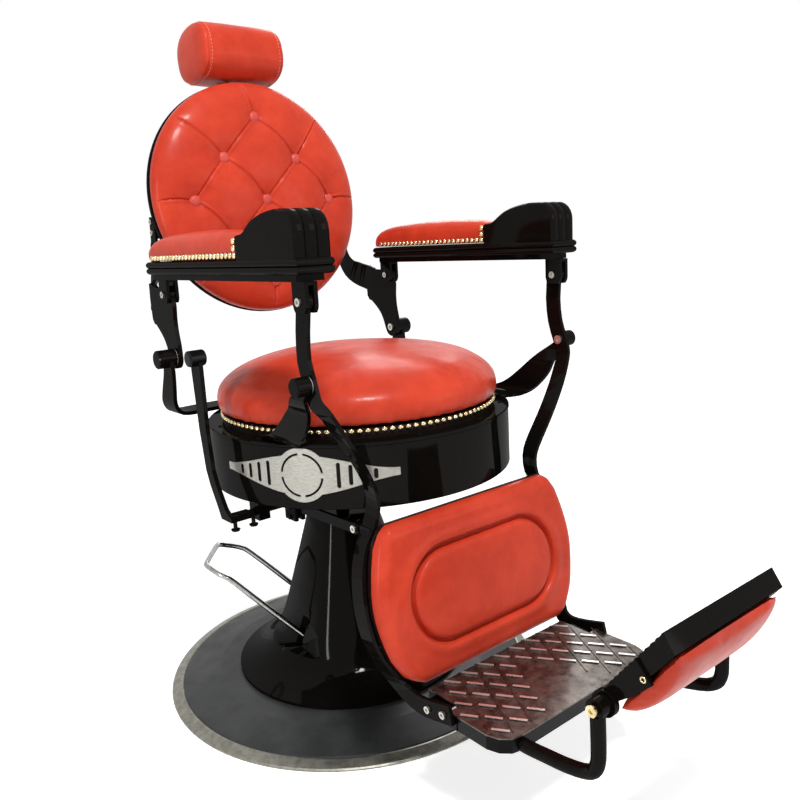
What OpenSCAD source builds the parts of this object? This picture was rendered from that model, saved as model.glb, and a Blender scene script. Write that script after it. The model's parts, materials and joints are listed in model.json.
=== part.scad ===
// Hydraulic barber chair: round tufted back, round seat on a drum, pump base
// and a footrest frame that swings out as the back reclines.
// Millimetres. +Z is up, the sitter faces -Y, left is +X. The origin is the
// centre of the floor disc, on the floor.

/* [Base and pump] */
// Diameter of the floor disc with its trim ring
base_d = 710; // [640:5:800]
// Width of the metal trim ring round the disc
trim_ring_w = 22; // [12:1:34]
// Height of the disc where the pump cover stands on it
base_rise = 24; // [18:1:32]
// Diameter of the pump cover's foot
cover_foot_d = 444; // [380:2:480]
// Height of the pump cover's top above the floor
cover_top_z = 320; // [300:2:330]
// Diameter of the pump cover's neck
cover_neck_d = 143; // [130:1:160]
// Widening of the neck for each millimetre of depth
cover_slope = 0.297; // [0.26:0.005:0.33]
// Diameter of the hydraulic piston
piston_d = 26; // [22:1:34]

/* [Pump pedal] */
// Compass angle of the pedal round the column, from the sitter's left
pedal_angle = 141; // [120:1:160]
// Diameter of the pedal's round rod
pedal_rod_d = 10.5; // [9:0.5:12]
// Height of the pedal axle above the floor
pedal_axle_z = 75; // [68:1:80]
// Distance of the pedal axle from the column's axis
pedal_axle_r = 62; // [56:1:66]
// Spacing of the two rods at the column
pedal_gap = 157; // [146:1:160]
// Width over the centres of the rods at the tread
pedal_tip_w = 126; // [110:1:140]

/* [Seat] */
// Outer diameter of the seat drum
drum_d = 539; // [530:1:550]
// Height of the drum's lower edge above the floor
drum_bottom_z = 429; // [427:1:436]
// Height of the drum's wall and top ring together
drum_h = 103; // [96:1:110]
// Distance of the drum's centre in front of the column
drum_forward = 77.5; // [72:0.5:82]
// Thickness of the drum's wall
drum_wall = 5; // [3:0.5:7]
// Thickness of the flat ring on top of the drum
drum_ring_t = 6; // [4:0.5:8]
// Diameter of the seat board
board_d = 486; // [478:1:488]
// Thickness of the seat board
board_t = 16; // [14:1:20]
// Widest diameter of the seat cushion
seat_d = 510; // [500:1:516]
// Height of the seat cushion above its board
seat_cushion_h = 101; // [80:1:110]
// Number of upholstery nails round the seat
seat_nail_count = 120; // [60:2:130]
// Diameter of an upholstery nail's head
nail_d = 9; // [6:0.5:9.5]

/* [Linkage] */
// Height of the main pivots above the floor
pivot_z = 640; // [636:1:644]
// Distance of the front pivot in front of the column
front_pivot_y = 330; // [326:1:334]
// Distance of the rear pivot behind the column
rear_pivot_y = 126; // [122:1:130]
// Height of the armrest pins above the main pivots
pin_rise = 113; // [110:1:116]
// Distance that the armrest pins lie behind the main pivots
pin_back = 2; // [0:0.5:4]
// Diameter of the front pivot boss
front_boss_d = 27; // [24:1:32]
// Diameter of the rear pivot boss
rear_boss_d = 33; // [28:1:36]
// Width of the front straps
strap_w = 28; // [24:1:30]
// Thickness of the front straps
strap_t = 6; // [5:0.5:6.5]
// Thickness of the rear plates
rear_plate_t = 8; // [6:0.5:8.5]
// Diameter of the pivot pins
pin_d = 10; // [8:0.5:12]

/* [Armrests] */
// Overall length of an armrest rail
arm_len = 495; // [480:1:505]
// Width of an armrest rail
arm_w = 60.5; // [56:0.5:64]
// Height of the rail's top above the floor
arm_top_z = 811; // [808:1:818]
// Height of one bead moulding on the rail
bead_h = 11; // [9:0.5:12]
// Height of the scrolled block above the rail's top
block_h = 65; // [55:1:75]
// Length of the arm pad
pad_len = 333; // [320:1:340]
// Height of the arm pad at its crown
pad_h = 46; // [36:1:52]

/* [Backrest] */
// Diameter of the back cushion
back_d = 444; // [430:1:450]
// Height of the back cushion's centre above the floor
back_z = 921; // [915:1:930]
// Distance of the back cushion's centre behind the column
back_y = 229.6; // [226:0.2:236]
// Backward lean of the back in degrees
back_lean = 6.4; // [4:0.2:8]
// Depth of the back cushion at its crown
back_cushion_h = 54; // [44:1:60]
// Depth of the shell behind the back cushion
back_shell_h = 38; // [34:1:42]
// Spacing of the tufting buttons
tuft_pitch = 80; // [72:1:84]
// Depth of a sewn tuft
tuft_depth = 13; // [6:1:16]

/* [Headrest] */
// Length of the headrest bolster
headrest_len = 184; // [160:2:200]
// Depth of the bolster from front to back
headrest_d = 140; // [124:2:150]
// Height of the bolster
headrest_h = 112; // [100:1:124]
// Diameter of the headrest post
post_d = 14; // [12:0.5:16]
// Travel of the headrest upwards
headrest_travel = 80; // [60:5:90]

/* [Footrest] */
// Length of the leg panel down its slope
kick_len = 249; // [240:1:252]
// Widest half width of the leg panel
kick_half_w = 213; // [209:0.5:214]
// Lean of the leg panel in degrees
kick_lean = 10.4; // [9:0.1:12]
// Depth of the leg panel's upholstery
kick_cushion_h = 22; // [16:1:26]
// Half width of the footplate at its front
foot_half_w = 168; // [160:1:169]
// Height of the footplate's top above the floor
foot_z = 176; // [174:1:178]
// Depth of the footplate's skirt
foot_skirt = 22; // [18:1:26]
// Height of the raised tread
tread_h = 2; // [1:0.5:3]
// Pitch of the tread bars across the footplate
tread_pitch = 35.2; // [30:0.2:40]

/* [Foot flap] */
// Height of the flap's hinge above the floor
flap_hinge_z = 277; // [274:1:280]
// Distance of the flap's hinge in front of the column
flap_hinge_y = 712; // [708:1:716]
// Width of the flap
flap_w = 242; // [230:2:246]
// Length of the flap down its slope
flap_len = 152; // [145:1:160]
// Thickness of the flap's black frame
flap_t = 24; // [20:1:28]
// Slope of the flap in degrees
flap_slope = 51.8; // [48:0.2:56]
// Depth of the flap's upholstery
flap_cushion_h = 26; // [18:1:30]
// Diameter of the tube of the flap's arms
flap_tube_d = 19; // [16:0.5:20]

/* [Recline lever] */
// Distance of the lever from the chair's middle
lever_x = 300; // [298:1:302]
// Height of the lever's shaft above the floor
lever_z = 409; // [406:1:412]
// Distance of the lever's shaft in front of the column
lever_y = 125; // [122:1:128]
// Diameter of the lever's knob
knob_d = 26; // [22:1:30]

/* [Fits] */
// Radial clearance of pins and shafts in their bores
run_gap = 0.1; // [0.04:0.01:0.15]
// Gap between cushions and what they rest on
soft_gap = 0.3; // [0.2:0.05:0.5]
// Gap between plates that slide past each other
slide_gap = 0.5; // [0.3:0.1:0.8]

/* [Hidden] */

// Colours
black = "#161616";
satin_black = "#262729";
red = "#b5301f";
brass = "#c9a24a";
steel = "#a9a59a";
chrome = "#d8d8d8";
nylon = "#1c1c1c";

// Heights and radii that follow from the driving dimensions
base_r = base_d / 2;
disc_r = base_r - trim_ring_w;
disc_edge_z = 9;
cover_foot_r = cover_foot_d / 2;
piston_r = piston_d / 2;
drum_r = drum_d / 2;
drum_top_z = drum_bottom_z + drum_h;
drum_y = -drum_forward;
board_r = board_d / 2;
board_top_z = drum_top_z + board_t;
nail_r = nail_d / 2;
frame_t = 8;
frame_z = drum_top_z - drum_ring_t - frame_t;
collar_z = drum_bottom_z + 7;
collar_t = 6;
bearing_t = 6;
spigot_r = piston_r - 3;
pin_r = pin_d / 2;
front_pin = [-front_pivot_y + pin_back, pivot_z + pin_rise];
rear_pin = [rear_pivot_y + pin_back, pivot_z + pin_rise];

// Planes of the side parts, as distances from the chair's middle
strap_pivot_x = 260.3;
strap_pin_x = 256.2;
rear_plate_x = 250;
boss_end_x = 288;
washer_t = 1.5;
arm_x = 250.75;
arm_rear_y = 143;
arm_front_y = arm_rear_y - arm_len;
block_rear_y = -188.5;
block_front_y = arm_front_y + 4;
block_top_z = arm_top_z + block_h;
rail_bottom_z = arm_top_z - 2 * bead_h;
under_plate_t = 9;
clevis_top_z = rail_bottom_z - under_plate_t;

// Link from the footrest frame to the clamp under the seat
link_x = 180;
link_t = 6;
link_h = 16;
link_end = [-300, 405];
link_guide = [-lever_y, 401];
link_len = 372;
link_pin_r = 4;

// ------------ helpers

function unit(v) = v / norm(v);
function xyz(p) = [p[0], p[1], p[2]];

// Point at fraction t of the smooth curve between b and c
function curve_point(a, b, c, d, t) =
    0.5 * (2 * b + (c - a) * t + (2 * a - 5 * b + 4 * c - d) * t * t
    + (3 * b - a - 3 * c + d) * t * t * t);

// Smooth curve through the points p, with n steps between neighbours
function smooth(p, n) = concat(
    [for (i = [0:len(p) - 2], k = [0:n - 1])
        curve_point(p[max(i - 1, 0)], p[i], p[i + 1],
            p[min(i + 2, len(p) - 1)], k / n)],
    [p[len(p) - 1]]);

function tangent(p, i) =
    unit(xyz(p[min(i + 1, len(p) - 1)]) - xyz(p[max(i - 1, 0)]));

// Value at x of a smooth curve through pairs [x, value] at rising x
function table_value(pairs, x, i = 0) =
    i >= len(pairs) - 2 || x < pairs[i + 1][0]
    ? curve_point(pairs[max(i - 1, 0)], pairs[i], pairs[i + 1],
        pairs[min(i + 2, len(pairs) - 1)],
        (x - pairs[i][0]) / (pairs[i + 1][0] - pairs[i][0]))[1]
    : table_value(pairs, x, i + 1);

function sum(v, i = 0) = i == len(v) ? 0 : v[i] + sum(v, i + 1);
function mean(ring) = [for (k = [0:2]) sum([for (p = ring) p[k]]) / len(ring)];

// Distance of point q from the straight piece a-b, in two dimensions
function piece_distance(q, a, b) =
    let (t = min(1, max(0, ((q - a) * (b - a)) / ((b - a) * (b - a)))))
    norm(q - a - t * (b - a));

// Solid through rings that turn from u to v, where u x v points along the way
module loft(rings) {
    n = len(rings[0]);
    m = len(rings);
    points = concat([for (r = rings) each r],
        [mean(rings[0]), mean(rings[m - 1])]);
    sides = [for (j = [0:m - 2], i = [0:n - 1])
        let (k = (i + 1) % n)
        each [[j * n + i, (j + 1) * n + i, (j + 1) * n + k],
            [j * n + i, (j + 1) * n + k, j * n + k]]];
    start = [for (i = [0:n - 1]) [i, (i + 1) % n, m * n]];
    end = [for (i = [0:n - 1])
        [(m - 1) * n + (i + 1) % n, (m - 1) * n + i, m * n + 1]];
    polyhedron(points, concat(sides, start, end), convexity = 6);
}

// Flat bar along points [x, y, z, width] whose face looks along the X axis
module face_bar(path, thick) {
    loft([for (i = [0:len(path) - 1])
        let (t = tangent(path, i), n = unit([1, 0, 0] - t[0] * t),
            w = cross(t, n), a = n * thick / 2, b = w * path[i][3] / 2,
            c = xyz(path[i]))
        [c + a - b, c + a + b, c - a + b, c - a - b]]);
}

// Flat bar along points [x, z, front y, rear y] whose width lies along Y
module wide_bar(path, thick) {
    middle = [for (p = path) [p[0], 0, p[1]]];
    loft([for (i = [0:len(path) - 1])
        let (t = tangent(middle, i), n = cross([0, 1, 0], t),
            a = n * thick / 2, c = middle[i], f = [0, path[i][2], 0],
            r = [0, path[i][3], 0])
        [c + a + f, c + a + r, c - a + r, c - a + f]]);
}

// Round tube along points, level side kept towards the reference direction
module tube(path, r, ref, sides = 14) {
    loft([for (i = [0:len(path) - 1])
        let (t = tangent(path, i), u = unit(ref - (ref * t) * t),
            v = cross(t, u))
        [for (k = [0:sides - 1])
            path[i] + r * (cos(k * 360 / sides) * u
            + sin(k * 360 / sides) * v)]]);
}

// Cylinder along +X from x to x + h, centred on yz
module along_x(x, yz, r, h, fn = 48) {
    translate([x, yz[0], yz[1]])
        rotate([0, 90, 0])
            cylinder(r = r, h = h, $fn = fn);
}

// Outline in the YZ plane, extruded from x to x + h
module side_plate(x, h) {
    translate([x, 0, 0])
        rotate([90, 0, 90])
            linear_extrude(h)
                children();
}

// Socket-head screw along X: head from x towards the side d = 1 or -1
module socket_head_x(x, yz, r, h, d) {
    difference() {
        along_x(d > 0 ? x : x - h, yz, r, h, 32);
        along_x(d > 0 ? x + h * 0.4 : x - h - 1, yz, r * 0.5, h * 0.6 + 1, 6);
    }
}

// Everything on the sitter's right is the mirror of the left
module on_right() {
    mirror([1, 0, 0])
        children();
}

// ------------ base

module base_disc() {
    color(satin_black)
        rotate_extrude($fn = 180)
            polygon([[base_hole_r, base_rise - 8], [cover_foot_r, base_rise - 8],
                [disc_r - 24, 3], [disc_r - 16, 0], [disc_r - 0.2, 0],
                [disc_r - 0.2, disc_edge_z], [disc_r - 3, disc_edge_z + 1.5],
                [cover_foot_r + 40, base_rise - 2.5],
                [cover_foot_r, base_rise], [base_hole_r, base_rise]]);
}

module base_trim_ring() {
    color("#6b6858")
        rotate_extrude($fn = 180)
            polygon([[disc_r + 0.1, 0], [base_r, 0], [base_r, 2.5],
                [base_r - 2, 4.5], [base_r - 9, 7], [disc_r + 4, 10],
                [disc_r + 1, 10], [disc_r + 0.1, 9]]);
}

base_bolt_r = 67;
base_hole_r = 58;

module base_bolts() {
    color(steel)
        for (a = [0:90:270])
            rotate([0, 0, a + 45])
                translate([base_bolt_r, 0, base_rise + 8])
                    union() {
                        cylinder(r = 8, h = 5, $fn = 6);
                        translate([0, 0, -8 - 7])
                            cylinder(r = 3.9, h = 16, $fn = 24);
                    }
}

// Outer radius of the pump cover at height z: a straight neck and a bell foot
function cover_r(z) =
    cover_neck_d / 2 + cover_slope * (cover_top_z - 12 - z)
    + foot_flare * exp(-(z - base_rise - 7) / 25);
foot_flare = cover_foot_r - cover_neck_d / 2
    - cover_slope * (cover_top_z - 19 - base_rise);
cover_wall_share = 0.78;
cover_floor_z = 78;
facet_half_angle = 28.7;

module pump_cover() {
    steps = 14;
    z0 = base_rise + 7;
    z1 = cover_top_z - 12;
    straight_z = 178;
    outer = concat(
        [for (i = [0:steps])
            let (z = z0 + (straight_z - z0) * pow(i / steps, 1.3)) [cover_r(z), z]],
        [[cover_r(z1), z1]]);
    shoulder = [for (a = [15:15:75])
        [cover_r(z1) - 12 + 12 * cos(a), z1 + 12 * sin(a)]];
    hollow_top = cover_top_z - 16;
    color(black)
        difference() {
            rotate_extrude($fn = 96)
                polygon(concat(
                    [[cover_foot_r - 3, base_rise], [cover_foot_r, base_rise + 2.5]],
                    outer, shoulder,
                    [[cover_r(z1) - 12, cover_top_z],
                    [piston_r + 1.5, cover_top_z],
                    [piston_r + 1.5, hollow_top],
                    [cover_wall_share * cover_r(hollow_top) - 4, hollow_top],
                    [cover_wall_share * cover_r(130), 130],
                    [cover_wall_share * cover_r(90), 90],
                    [cover_wall_share * cover_r(90) + 6, base_rise]]));
            // Two flat facets face the pedal and end in a shelf
            for (s = [-1, 1])
                rotate([0, 0, pedal_angle + s * (facet_half_angle + 8)])
                    translate([cos(facet_half_angle) * cover_r(cover_floor_z + 60),
                        0, cover_floor_z + 60])
                        rotate([0, -atan(cos(facet_half_angle) * cover_slope), 0])
                            intersection() {
                                translate([0, -90, -70])
                                    cube([60, 180, 290]);
                                rotate([0, atan(cos(facet_half_angle) * cover_slope), 0])
                                    translate([-100, -90, -60])
                                        cube([200, 180, 300]);
                            }
            // Slots for the pedal's two rods
            for (s = [-1, 1])
                rotate([0, 0, pedal_angle])
                    translate([60, s * pedal_gap / 2 - (pedal_rod_d + 6) / 2, 75.5])
                        cube([100, pedal_rod_d + 6, 58.5]);
        }
}

module pump_cylinder() {
    color(satin_black)
        rotate_extrude($fn = 64)
            polygon([[0, 0], [base_hole_r - 0.5, 0], [base_hole_r - 0.5, base_rise + 0.2],
                [80, base_rise + 0.2],
                [80, base_rise + 8], [42, base_rise + 8],
                [42, cover_top_z - 40], [34, cover_top_z - 22],
                [piston_r + run_gap, cover_top_z - 22], [piston_r + run_gap, 30],
                [0, 30]]);
}

module pedal_axle() {
    color(steel)
        rotate([0, 0, pedal_angle])
            union() {
                translate([pedal_axle_r, 0, pedal_axle_z])
                    rotate([90, 0, 0])
                        cylinder(r = 6, h = pedal_gap - 12, center = true, $fn = 40);
                // Bearing blocks on the disc
                for (y = [11.5 - pedal_gap / 2, pedal_gap / 2 - 4])
                    translate([pedal_axle_r - 8, y - 7.5, base_rise + 0.3])
                        cube([16, 7.5, pedal_axle_z - base_rise + 5]);
            }
}

module pedal_hub() {
    color(satin_black)
        rotate([0, 0, pedal_angle])
            translate([pedal_axle_r, 0, pedal_axle_z])
                rotate([90, 0, 0])
                    difference() {
                        cylinder(r = 10, h = pedal_gap - 24, center = true, $fn = 40);
                        cylinder(r = 6 + run_gap, h = pedal_gap, center = true, $fn = 40);
                    }
}

module pedal_loop() {
    half = pedal_gap / 2;
    tip = pedal_tip_w / 2;
    side = [
        [pedal_axle_r + 12, half - 14, pedal_axle_z + 9.6],
        [pedal_axle_r + 14, half - 3, pedal_axle_z + 12],
        [pedal_axle_r + 24, half, pedal_axle_z + 22],
        [pedal_axle_r + 90, half, pedal_axle_z + 84],
        [206, half - 2, 209], [220, half - 4, 219], [234, half - 7, 225],
        [250, tip - 1, 232], [260, tip - 8, 236.5], [264, tip - 22, 238]];
    path = smooth(concat(side,
        [for (i = [len(side) - 1:-1:0]) [side[i][0], -side[i][1], side[i][2]]]), 2);
    color(chrome)
        rotate([0, 0, pedal_angle])
            tube(path, pedal_rod_d / 2, [0, 0, 1], 14);
}

module piston() {
    color(chrome)
        rotate_extrude($fn = 64)
            polygon([[0, 60], [piston_r - 1, 60], [piston_r, 61],
                [piston_r, collar_z], [30, collar_z], [30, collar_z + collar_t],
                [spigot_r, collar_z + collar_t], [spigot_r, frame_z - 12],
                [0, frame_z - 12]]);
}

// ------------ seat

module swivel_bearing() {
    color(brass)
        translate([0, 0, collar_z + collar_t + 0.1])
            difference() {
                cylinder(r = 29, h = bearing_t, $fn = 64);
                translate([0, 0, -1])
                    cylinder(r = spigot_r + run_gap, h = bearing_t + 2, $fn = 64);
            }
}

hub_z = collar_z + collar_t + 0.1 + bearing_t;

module seat_frame() {
    arm_w = 44;
    inner_r = drum_r - drum_wall - 0.2;
    color(satin_black)
        difference() {
            union() {
                translate([0, 0, hub_z])
                    cylinder(r = 32, h = frame_z - hub_z + 1, $fn = 64);
                intersection() {
                    translate([0, drum_y, frame_z])
                        cylinder(r = inner_r, h = frame_t, $fn = 128);
                    union() {
                        translate([-arm_w / 2, drum_y - drum_r, frame_z])
                            cube([arm_w, drum_d, frame_t]);
                        translate([-drum_r, -lever_y - arm_w / 2, frame_z])
                            cube([drum_d, arm_w, frame_t]);
                        translate([0, 0, frame_z])
                            cylinder(r = 70, h = frame_t, $fn = 64);
                    }
                }
            }
            translate([0, 0, hub_z - 1])
                cylinder(r = spigot_r + run_gap, h = frame_z - 10 - hub_z, $fn = 64);
        }
}

module seat_drum() {
    color(black)
        translate([0, drum_y, 0])
            rotate_extrude($fn = 180)
                polygon([[drum_r - drum_wall, drum_bottom_z],
                    [drum_r - 1, drum_bottom_z], [drum_r, drum_bottom_z + 1],
                    [drum_r, drum_top_z - drum_ring_t],
                    [drum_r - drum_wall, drum_top_z - drum_ring_t]]);
}

ring_inner_r = 205;

module drum_top_ring() {
    color(black)
        translate([0, drum_y, 0])
            rotate_extrude($fn = 180)
                polygon([[ring_inner_r, drum_top_z - drum_ring_t],
                    [drum_r, drum_top_z - drum_ring_t],
                    [drum_r + 1, drum_top_z - drum_ring_t + 1],
                    [drum_r + 1, drum_top_z - 1.5],
                    [drum_r - 0.5, drum_top_z], [ring_inner_r, drum_top_z]]);
}

// Small round screws on the ring and the rivets of the rear brackets
module seat_screws() {
    color(steel)
        union() {
            for (a = [15:30:345])
                translate([0, drum_y, drum_top_z])
                    rotate([0, 0, a])
                        translate([board_r + 11, 0, 0])
                            cylinder(r1 = 3.5, r2 = 2.5, h = 1.6, $fn = 20);
            for (s = [-1, 1], y = rivet_y)
                translate([s * rivet_x, y, drum_top_z + rear_bracket_t + 0.15])
                    cylinder(r1 = 4.5, r2 = 3, h = 2, $fn = 20);
        }
}

module seat_board() {
    color("#4a2018")
        translate([0, drum_y, drum_top_z])
            cylinder(r = board_r, h = board_t, $fn = 180);
}

// Half profile of the seat cushion: drawn in at the board, full at the side
module seat_cushion() {
    steps = 22;
    r = seat_d / 2;
    foot_h = 24;
    top_h = seat_cushion_h - foot_h;
    base_z = board_top_z + soft_gap;
    lower = [for (i = [0:6])
        let (a = 90 - i * 15)
        [board_r + 1 + (r - board_r - 1) * cos(a), base_z + foot_h * (1 - sin(a))]];
    upper = [for (i = [1:steps - 1])
        let (a = 90 * i / steps)
        [r * pow(cos(a), 0.78), base_z + foot_h + top_h * pow(sin(a), 0.92)]];
    color(red)
        translate([0, drum_y, 0])
            rotate_extrude($fn = 120)
                polygon(concat([[0, base_z]], lower, upper,
                    [[0, base_z + seat_cushion_h]]));
}

// Domed nail head whose flat back lies on the XY plane
module nail() {
    difference() {
        translate([0, 0, -nail_r * 0.3])
            sphere(r = nail_r, $fn = 18);
        translate([0, 0, -2 * nail_r])
            cube([4 * nail_r, 4 * nail_r, 4 * nail_r], center = true);
    }
}

module seat_nails() {
    color(brass)
        translate([0, drum_y, drum_top_z + board_t * 0.745])
            for (i = [0:seat_nail_count - 1])
                rotate([0, 90, i * 360 / seat_nail_count])
                    translate([0, 0, board_r + 0.1])
                        nail();
}

badge_angle = -146;
badge_half = 145;
badge_z = (drum_bottom_z + drum_top_z) / 2 + 3.5;

// Plain pierced plate: a round middle between two long tapered ends
module badge_outline() {
    difference() {
        union() {
            polygon(concat(
                [for (x = [-badge_half:10:badge_half])
                    [x, 6 + 26 * pow(cos(90 * x / badge_half), 1.6)]],
                [for (x = [badge_half:-10:-badge_half])
                    [x, -6 - 26 * pow(cos(90 * x / badge_half), 1.6)]]));
            circle(r = 43, $fn = 96);
        }
        difference() {
            circle(r = 35, $fn = 96);
            circle(r = 31.5, $fn = 96);
            square([8, 90], center = true);
            square([90, 8], center = true);
        }
        for (s = [-1, 1], k = [0:3])
            translate([s * (58 + 18 * k), 0])
                union() {
                    square([6, 34 - 8 * k], center = true);
                    for (e = [-1, 1])
                        translate([0, e * (17 - 4 * k)])
                            circle(r = 3, $fn = 24);
                }
    }
}

module drum_badge() {
    color("#b9b2a0")
        translate([0, drum_y, 0])
            rotate([0, 0, badge_angle])
                intersection() {
                    rotate_extrude($fn = 180)
                        translate([drum_r + 0.1, drum_bottom_z])
                            square([1.5, drum_h - drum_ring_t]);
                    translate([0, 0, badge_z])
                        rotate([90, 0, 90])
                            linear_extrude(drum_r + 10)
                                badge_outline();
                }
}

// ------------ brackets

bracket_t = 6;
front_pivot = [-front_pivot_y, pivot_z];
rear_pivot = [rear_pivot_y, pivot_z];
front_boss_x = strap_pivot_x + strap_t / 2 + washer_t;

module front_bracket() {
    lift = drum_top_z + bracket_t / 2 + 0.45;
    reach = front_boss_x + bracket_t / 2 + 0.2;
    path = smooth([
        [205, lift, -235, -138], [228, lift, -248, -138],
        [242, lift + 2.5, -258, -150], [249.5, lift + 11, -275, -185],
        [252, lift + 25, -292, -214], [254.5, lift + 45, -309, -241],
        [258, lift + 65, -317, -266],
        [reach, lift + 84, -326, -290],
        [reach, pivot_z - 4, -front_pivot_y - 13, -front_pivot_y + 14]], 3);
    color(black)
        difference() {
            union() {
                wide_bar(path, bracket_t);
                along_x(front_boss_x, front_pivot, front_boss_d / 2,
                    boss_end_x - front_boss_x - 2);
                translate([boss_end_x - 2, front_pivot[0], front_pivot[1]])
                    rotate([0, 90, 0])
                        cylinder(r1 = front_boss_d / 2, r2 = front_boss_d / 2 - 2,
                            h = 2, $fn = 48);
            }
            along_x(front_boss_x - 1, front_pivot, pin_r, 18);
            translate([0, drum_y, drum_top_z - 1])
                cylinder(r = board_r + slide_gap, h = board_t + 20, $fn = 180);
        }
}

rear_bracket_t = 7.2;
rear_bracket_x = 266;
rear_boss_x = rear_plate_x + rear_plate_t / 2 + washer_t;
rivet_x = 150;
rivet_y = [136, 158];

module rear_bracket() {
    lift = drum_top_z + rear_bracket_t / 2 + 0.1;
    rear_end = rear_pivot_y + 48;
    path = smooth([
        [104, lift, 122, rear_end], [200, lift, 122, rear_end],
        [236, lift, 120, rear_end - 1], [256, lift + 5, 118, rear_end - 3],
        [rear_bracket_x, lift + 22, 114, rear_end - 8],
        [rear_bracket_x + 1, lift + 46, 110, rear_end - 17],
        [rear_bracket_x, lift + 76, 109, 146],
        [rear_bracket_x, pivot_z, rear_pivot_y - 15, rear_pivot_y + 15]], 3);
    color(black)
        difference() {
            union() {
                wide_bar(path, rear_bracket_t);
                along_x(rear_boss_x, rear_pivot, rear_boss_d / 2,
                    boss_end_x + 0.7 - rear_boss_x - 2);
                translate([boss_end_x - 1.3, rear_pivot[0], rear_pivot[1]])
                    rotate([0, 90, 0])
                        cylinder(r1 = rear_boss_d / 2, r2 = rear_boss_d / 2 - 2,
                            h = 2, $fn = 48);
            }
            along_x(rear_boss_x - 1, rear_pivot, pin_r, 24);
            translate([0, drum_y, drum_top_z - 1])
                cylinder(r = board_r + slide_gap, h = board_t + 20, $fn = 180);
        }
}

// Shoulder screws of the four main pivots, screwed into the bosses
module pivot_pins() {
    color(steel)
        for (s = [0, 1])
            mirror([s, 0, 0])
                union() {
                    socket_head_x(strap_pivot_x - strap_t / 2 - 0.3, front_pivot,
                        pin_r + 2.5, 4, -1);
                    along_x(strap_pivot_x - strap_t / 2 - 0.31, front_pivot, pin_r,
                        front_boss_x + 16.5 - strap_pivot_x + strap_t / 2);
                    socket_head_x(rear_plate_x - rear_plate_t / 2 - 0.3, rear_pivot,
                        pin_r + 2.5, 4, -1);
                    along_x(rear_plate_x - rear_plate_t / 2 - 0.31, rear_pivot, pin_r,
                        rear_boss_x + 22.5 - rear_plate_x + rear_plate_t / 2);
                }
}

module washer(x, yz, r) {
    difference() {
        along_x(x, yz, r, washer_t - 0.2);
        along_x(x - 1, yz, pin_r + run_gap, washer_t + 2);
    }
}

module pivot_washers() {
    color(nylon)
        for (s = [0, 1])
            mirror([s, 0, 0])
                union() {
                    washer(strap_pivot_x + strap_t / 2 + 0.1, front_pivot,
                        front_boss_d / 2 - 1);
                    washer(rear_plate_x + rear_plate_t / 2 + 0.1, rear_pivot,
                        rear_boss_d / 2 - 1);
                }
}

// ------------ recline lock

lever_shaft_r = 6;
lever_t = 7;
lever_axis = [-lever_y, lever_z];
lever_block_x = 235;

// Bearing block under the drum's wall, with its mounting tongue
module lever_bracket() {
    inner_x = sqrt(pow(drum_r - drum_wall, 2) - pow(-lever_y - drum_y, 2));
    color(black)
        on_right()
            difference() {
                union() {
                    translate([lever_block_x, -lever_y - 15, lever_z - 12])
                        cube([20, 30, drum_bottom_z - lever_z + 12]);
                    translate([lever_block_x + 8, -lever_y - 15, drum_bottom_z])
                        cube([inner_x - lever_block_x - 11, 30, 50]);
                }
                along_x(lever_block_x - 1, lever_axis, lever_shaft_r + run_gap, 30);
            }
}

clamp_x = link_x + link_t / 2 + slide_gap;
clamp_t = 6;

// Two plates that grip the link bar, with a spacer bolt above and below it
module lock_clamp() {
    top_z = frame_z;
    low_z = link_guide[1] - 23.2;
    color(satin_black)
        on_right()
            union() {
                for (x = [clamp_x, link_x * 2 - clamp_x - clamp_t])
                    translate([x, -lever_y - 16, low_z])
                        cube([clamp_t, 32, top_z - low_z]);
                for (z = [low_z + 5, link_guide[1] + 24])
                    along_x(link_x * 2 - clamp_x - clamp_t - 3, [-lever_y, z], 4,
                        2 * (clamp_x - link_x) + 2 * clamp_t + 6);
            }
}

module recline_lever() {
    x0 = lever_x - lever_t / 2;
    color(black)
        on_right()
            union() {
                side_plate(x0, lever_t)
                    polygon([[-139, 405.5], [-105, 405.5], [-97, 421], [-76.5, 455],
                        [-66, 480], [-56.5, 545], [-50, 640], [-50, 655],
                        [-80, 655], [-80, 640], [-80.5, 545], [-87, 482],
                        [-97, 458], [-119, 424], [-133, 414], [-139, 412.5]]);
                translate([262, -139, 405.5])
                    cube([x0 - 261, 28, 7]);
                along_x(clamp_x + clamp_t + 5, lever_axis, lever_shaft_r,
                    lever_x - clamp_x - clamp_t - 10);
                along_x(clamp_x + clamp_t + 0.3, lever_axis, 12, 6);
                for (x = [264, 296])
                    translate([x, -136, 394])
                        union() {
                            cylinder(r = 3.2, h = 12, $fn = 24);
                            translate([0, 0, -3])
                                cylinder(r1 = 6, r2 = 7.5, h = 3, $fn = 32);
                        }
            }
}

module lever_knob() {
    r = knob_d / 2;
    length = 29;
    x0 = lever_x - lever_t / 2 - 10;
    color(black)
        on_right()
            difference() {
                translate([x0, -65, 661])
                    rotate([0, 90, 0])
                        rotate_extrude($fn = 48)
                            polygon([[0, 0], [r - 3, 0], [r - 1, 1], [r, 3],
                                [r, length - 3], [r - 1, length - 1],
                                [r - 3, length], [0, length]]);
                translate([lever_x - lever_t / 2 - 0.1, -85, 640])
                    cube([lever_t + 0.2, 40, 15.1]);
            }
}

// Flat link bar with a round eye at the footrest frame's ear
module lock_bar() {
    slope = atan2(link_guide[1] - link_end[1], link_guide[0] - link_end[0]);
    color(black)
        on_right()
            difference() {
                union() {
                    along_x(link_x - link_t / 2, link_end, link_h / 2 + 1, link_t);
                    translate([link_x - link_t / 2, link_end[0], link_end[1]])
                        rotate([slope, 0, 0])
                            translate([0, 0, -link_h / 2])
                                cube([link_t, link_len, link_h]);
                }
                along_x(link_x - link_t, link_end, link_pin_r + run_gap, link_t * 2);
            }
}

// ------------ backrest

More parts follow.
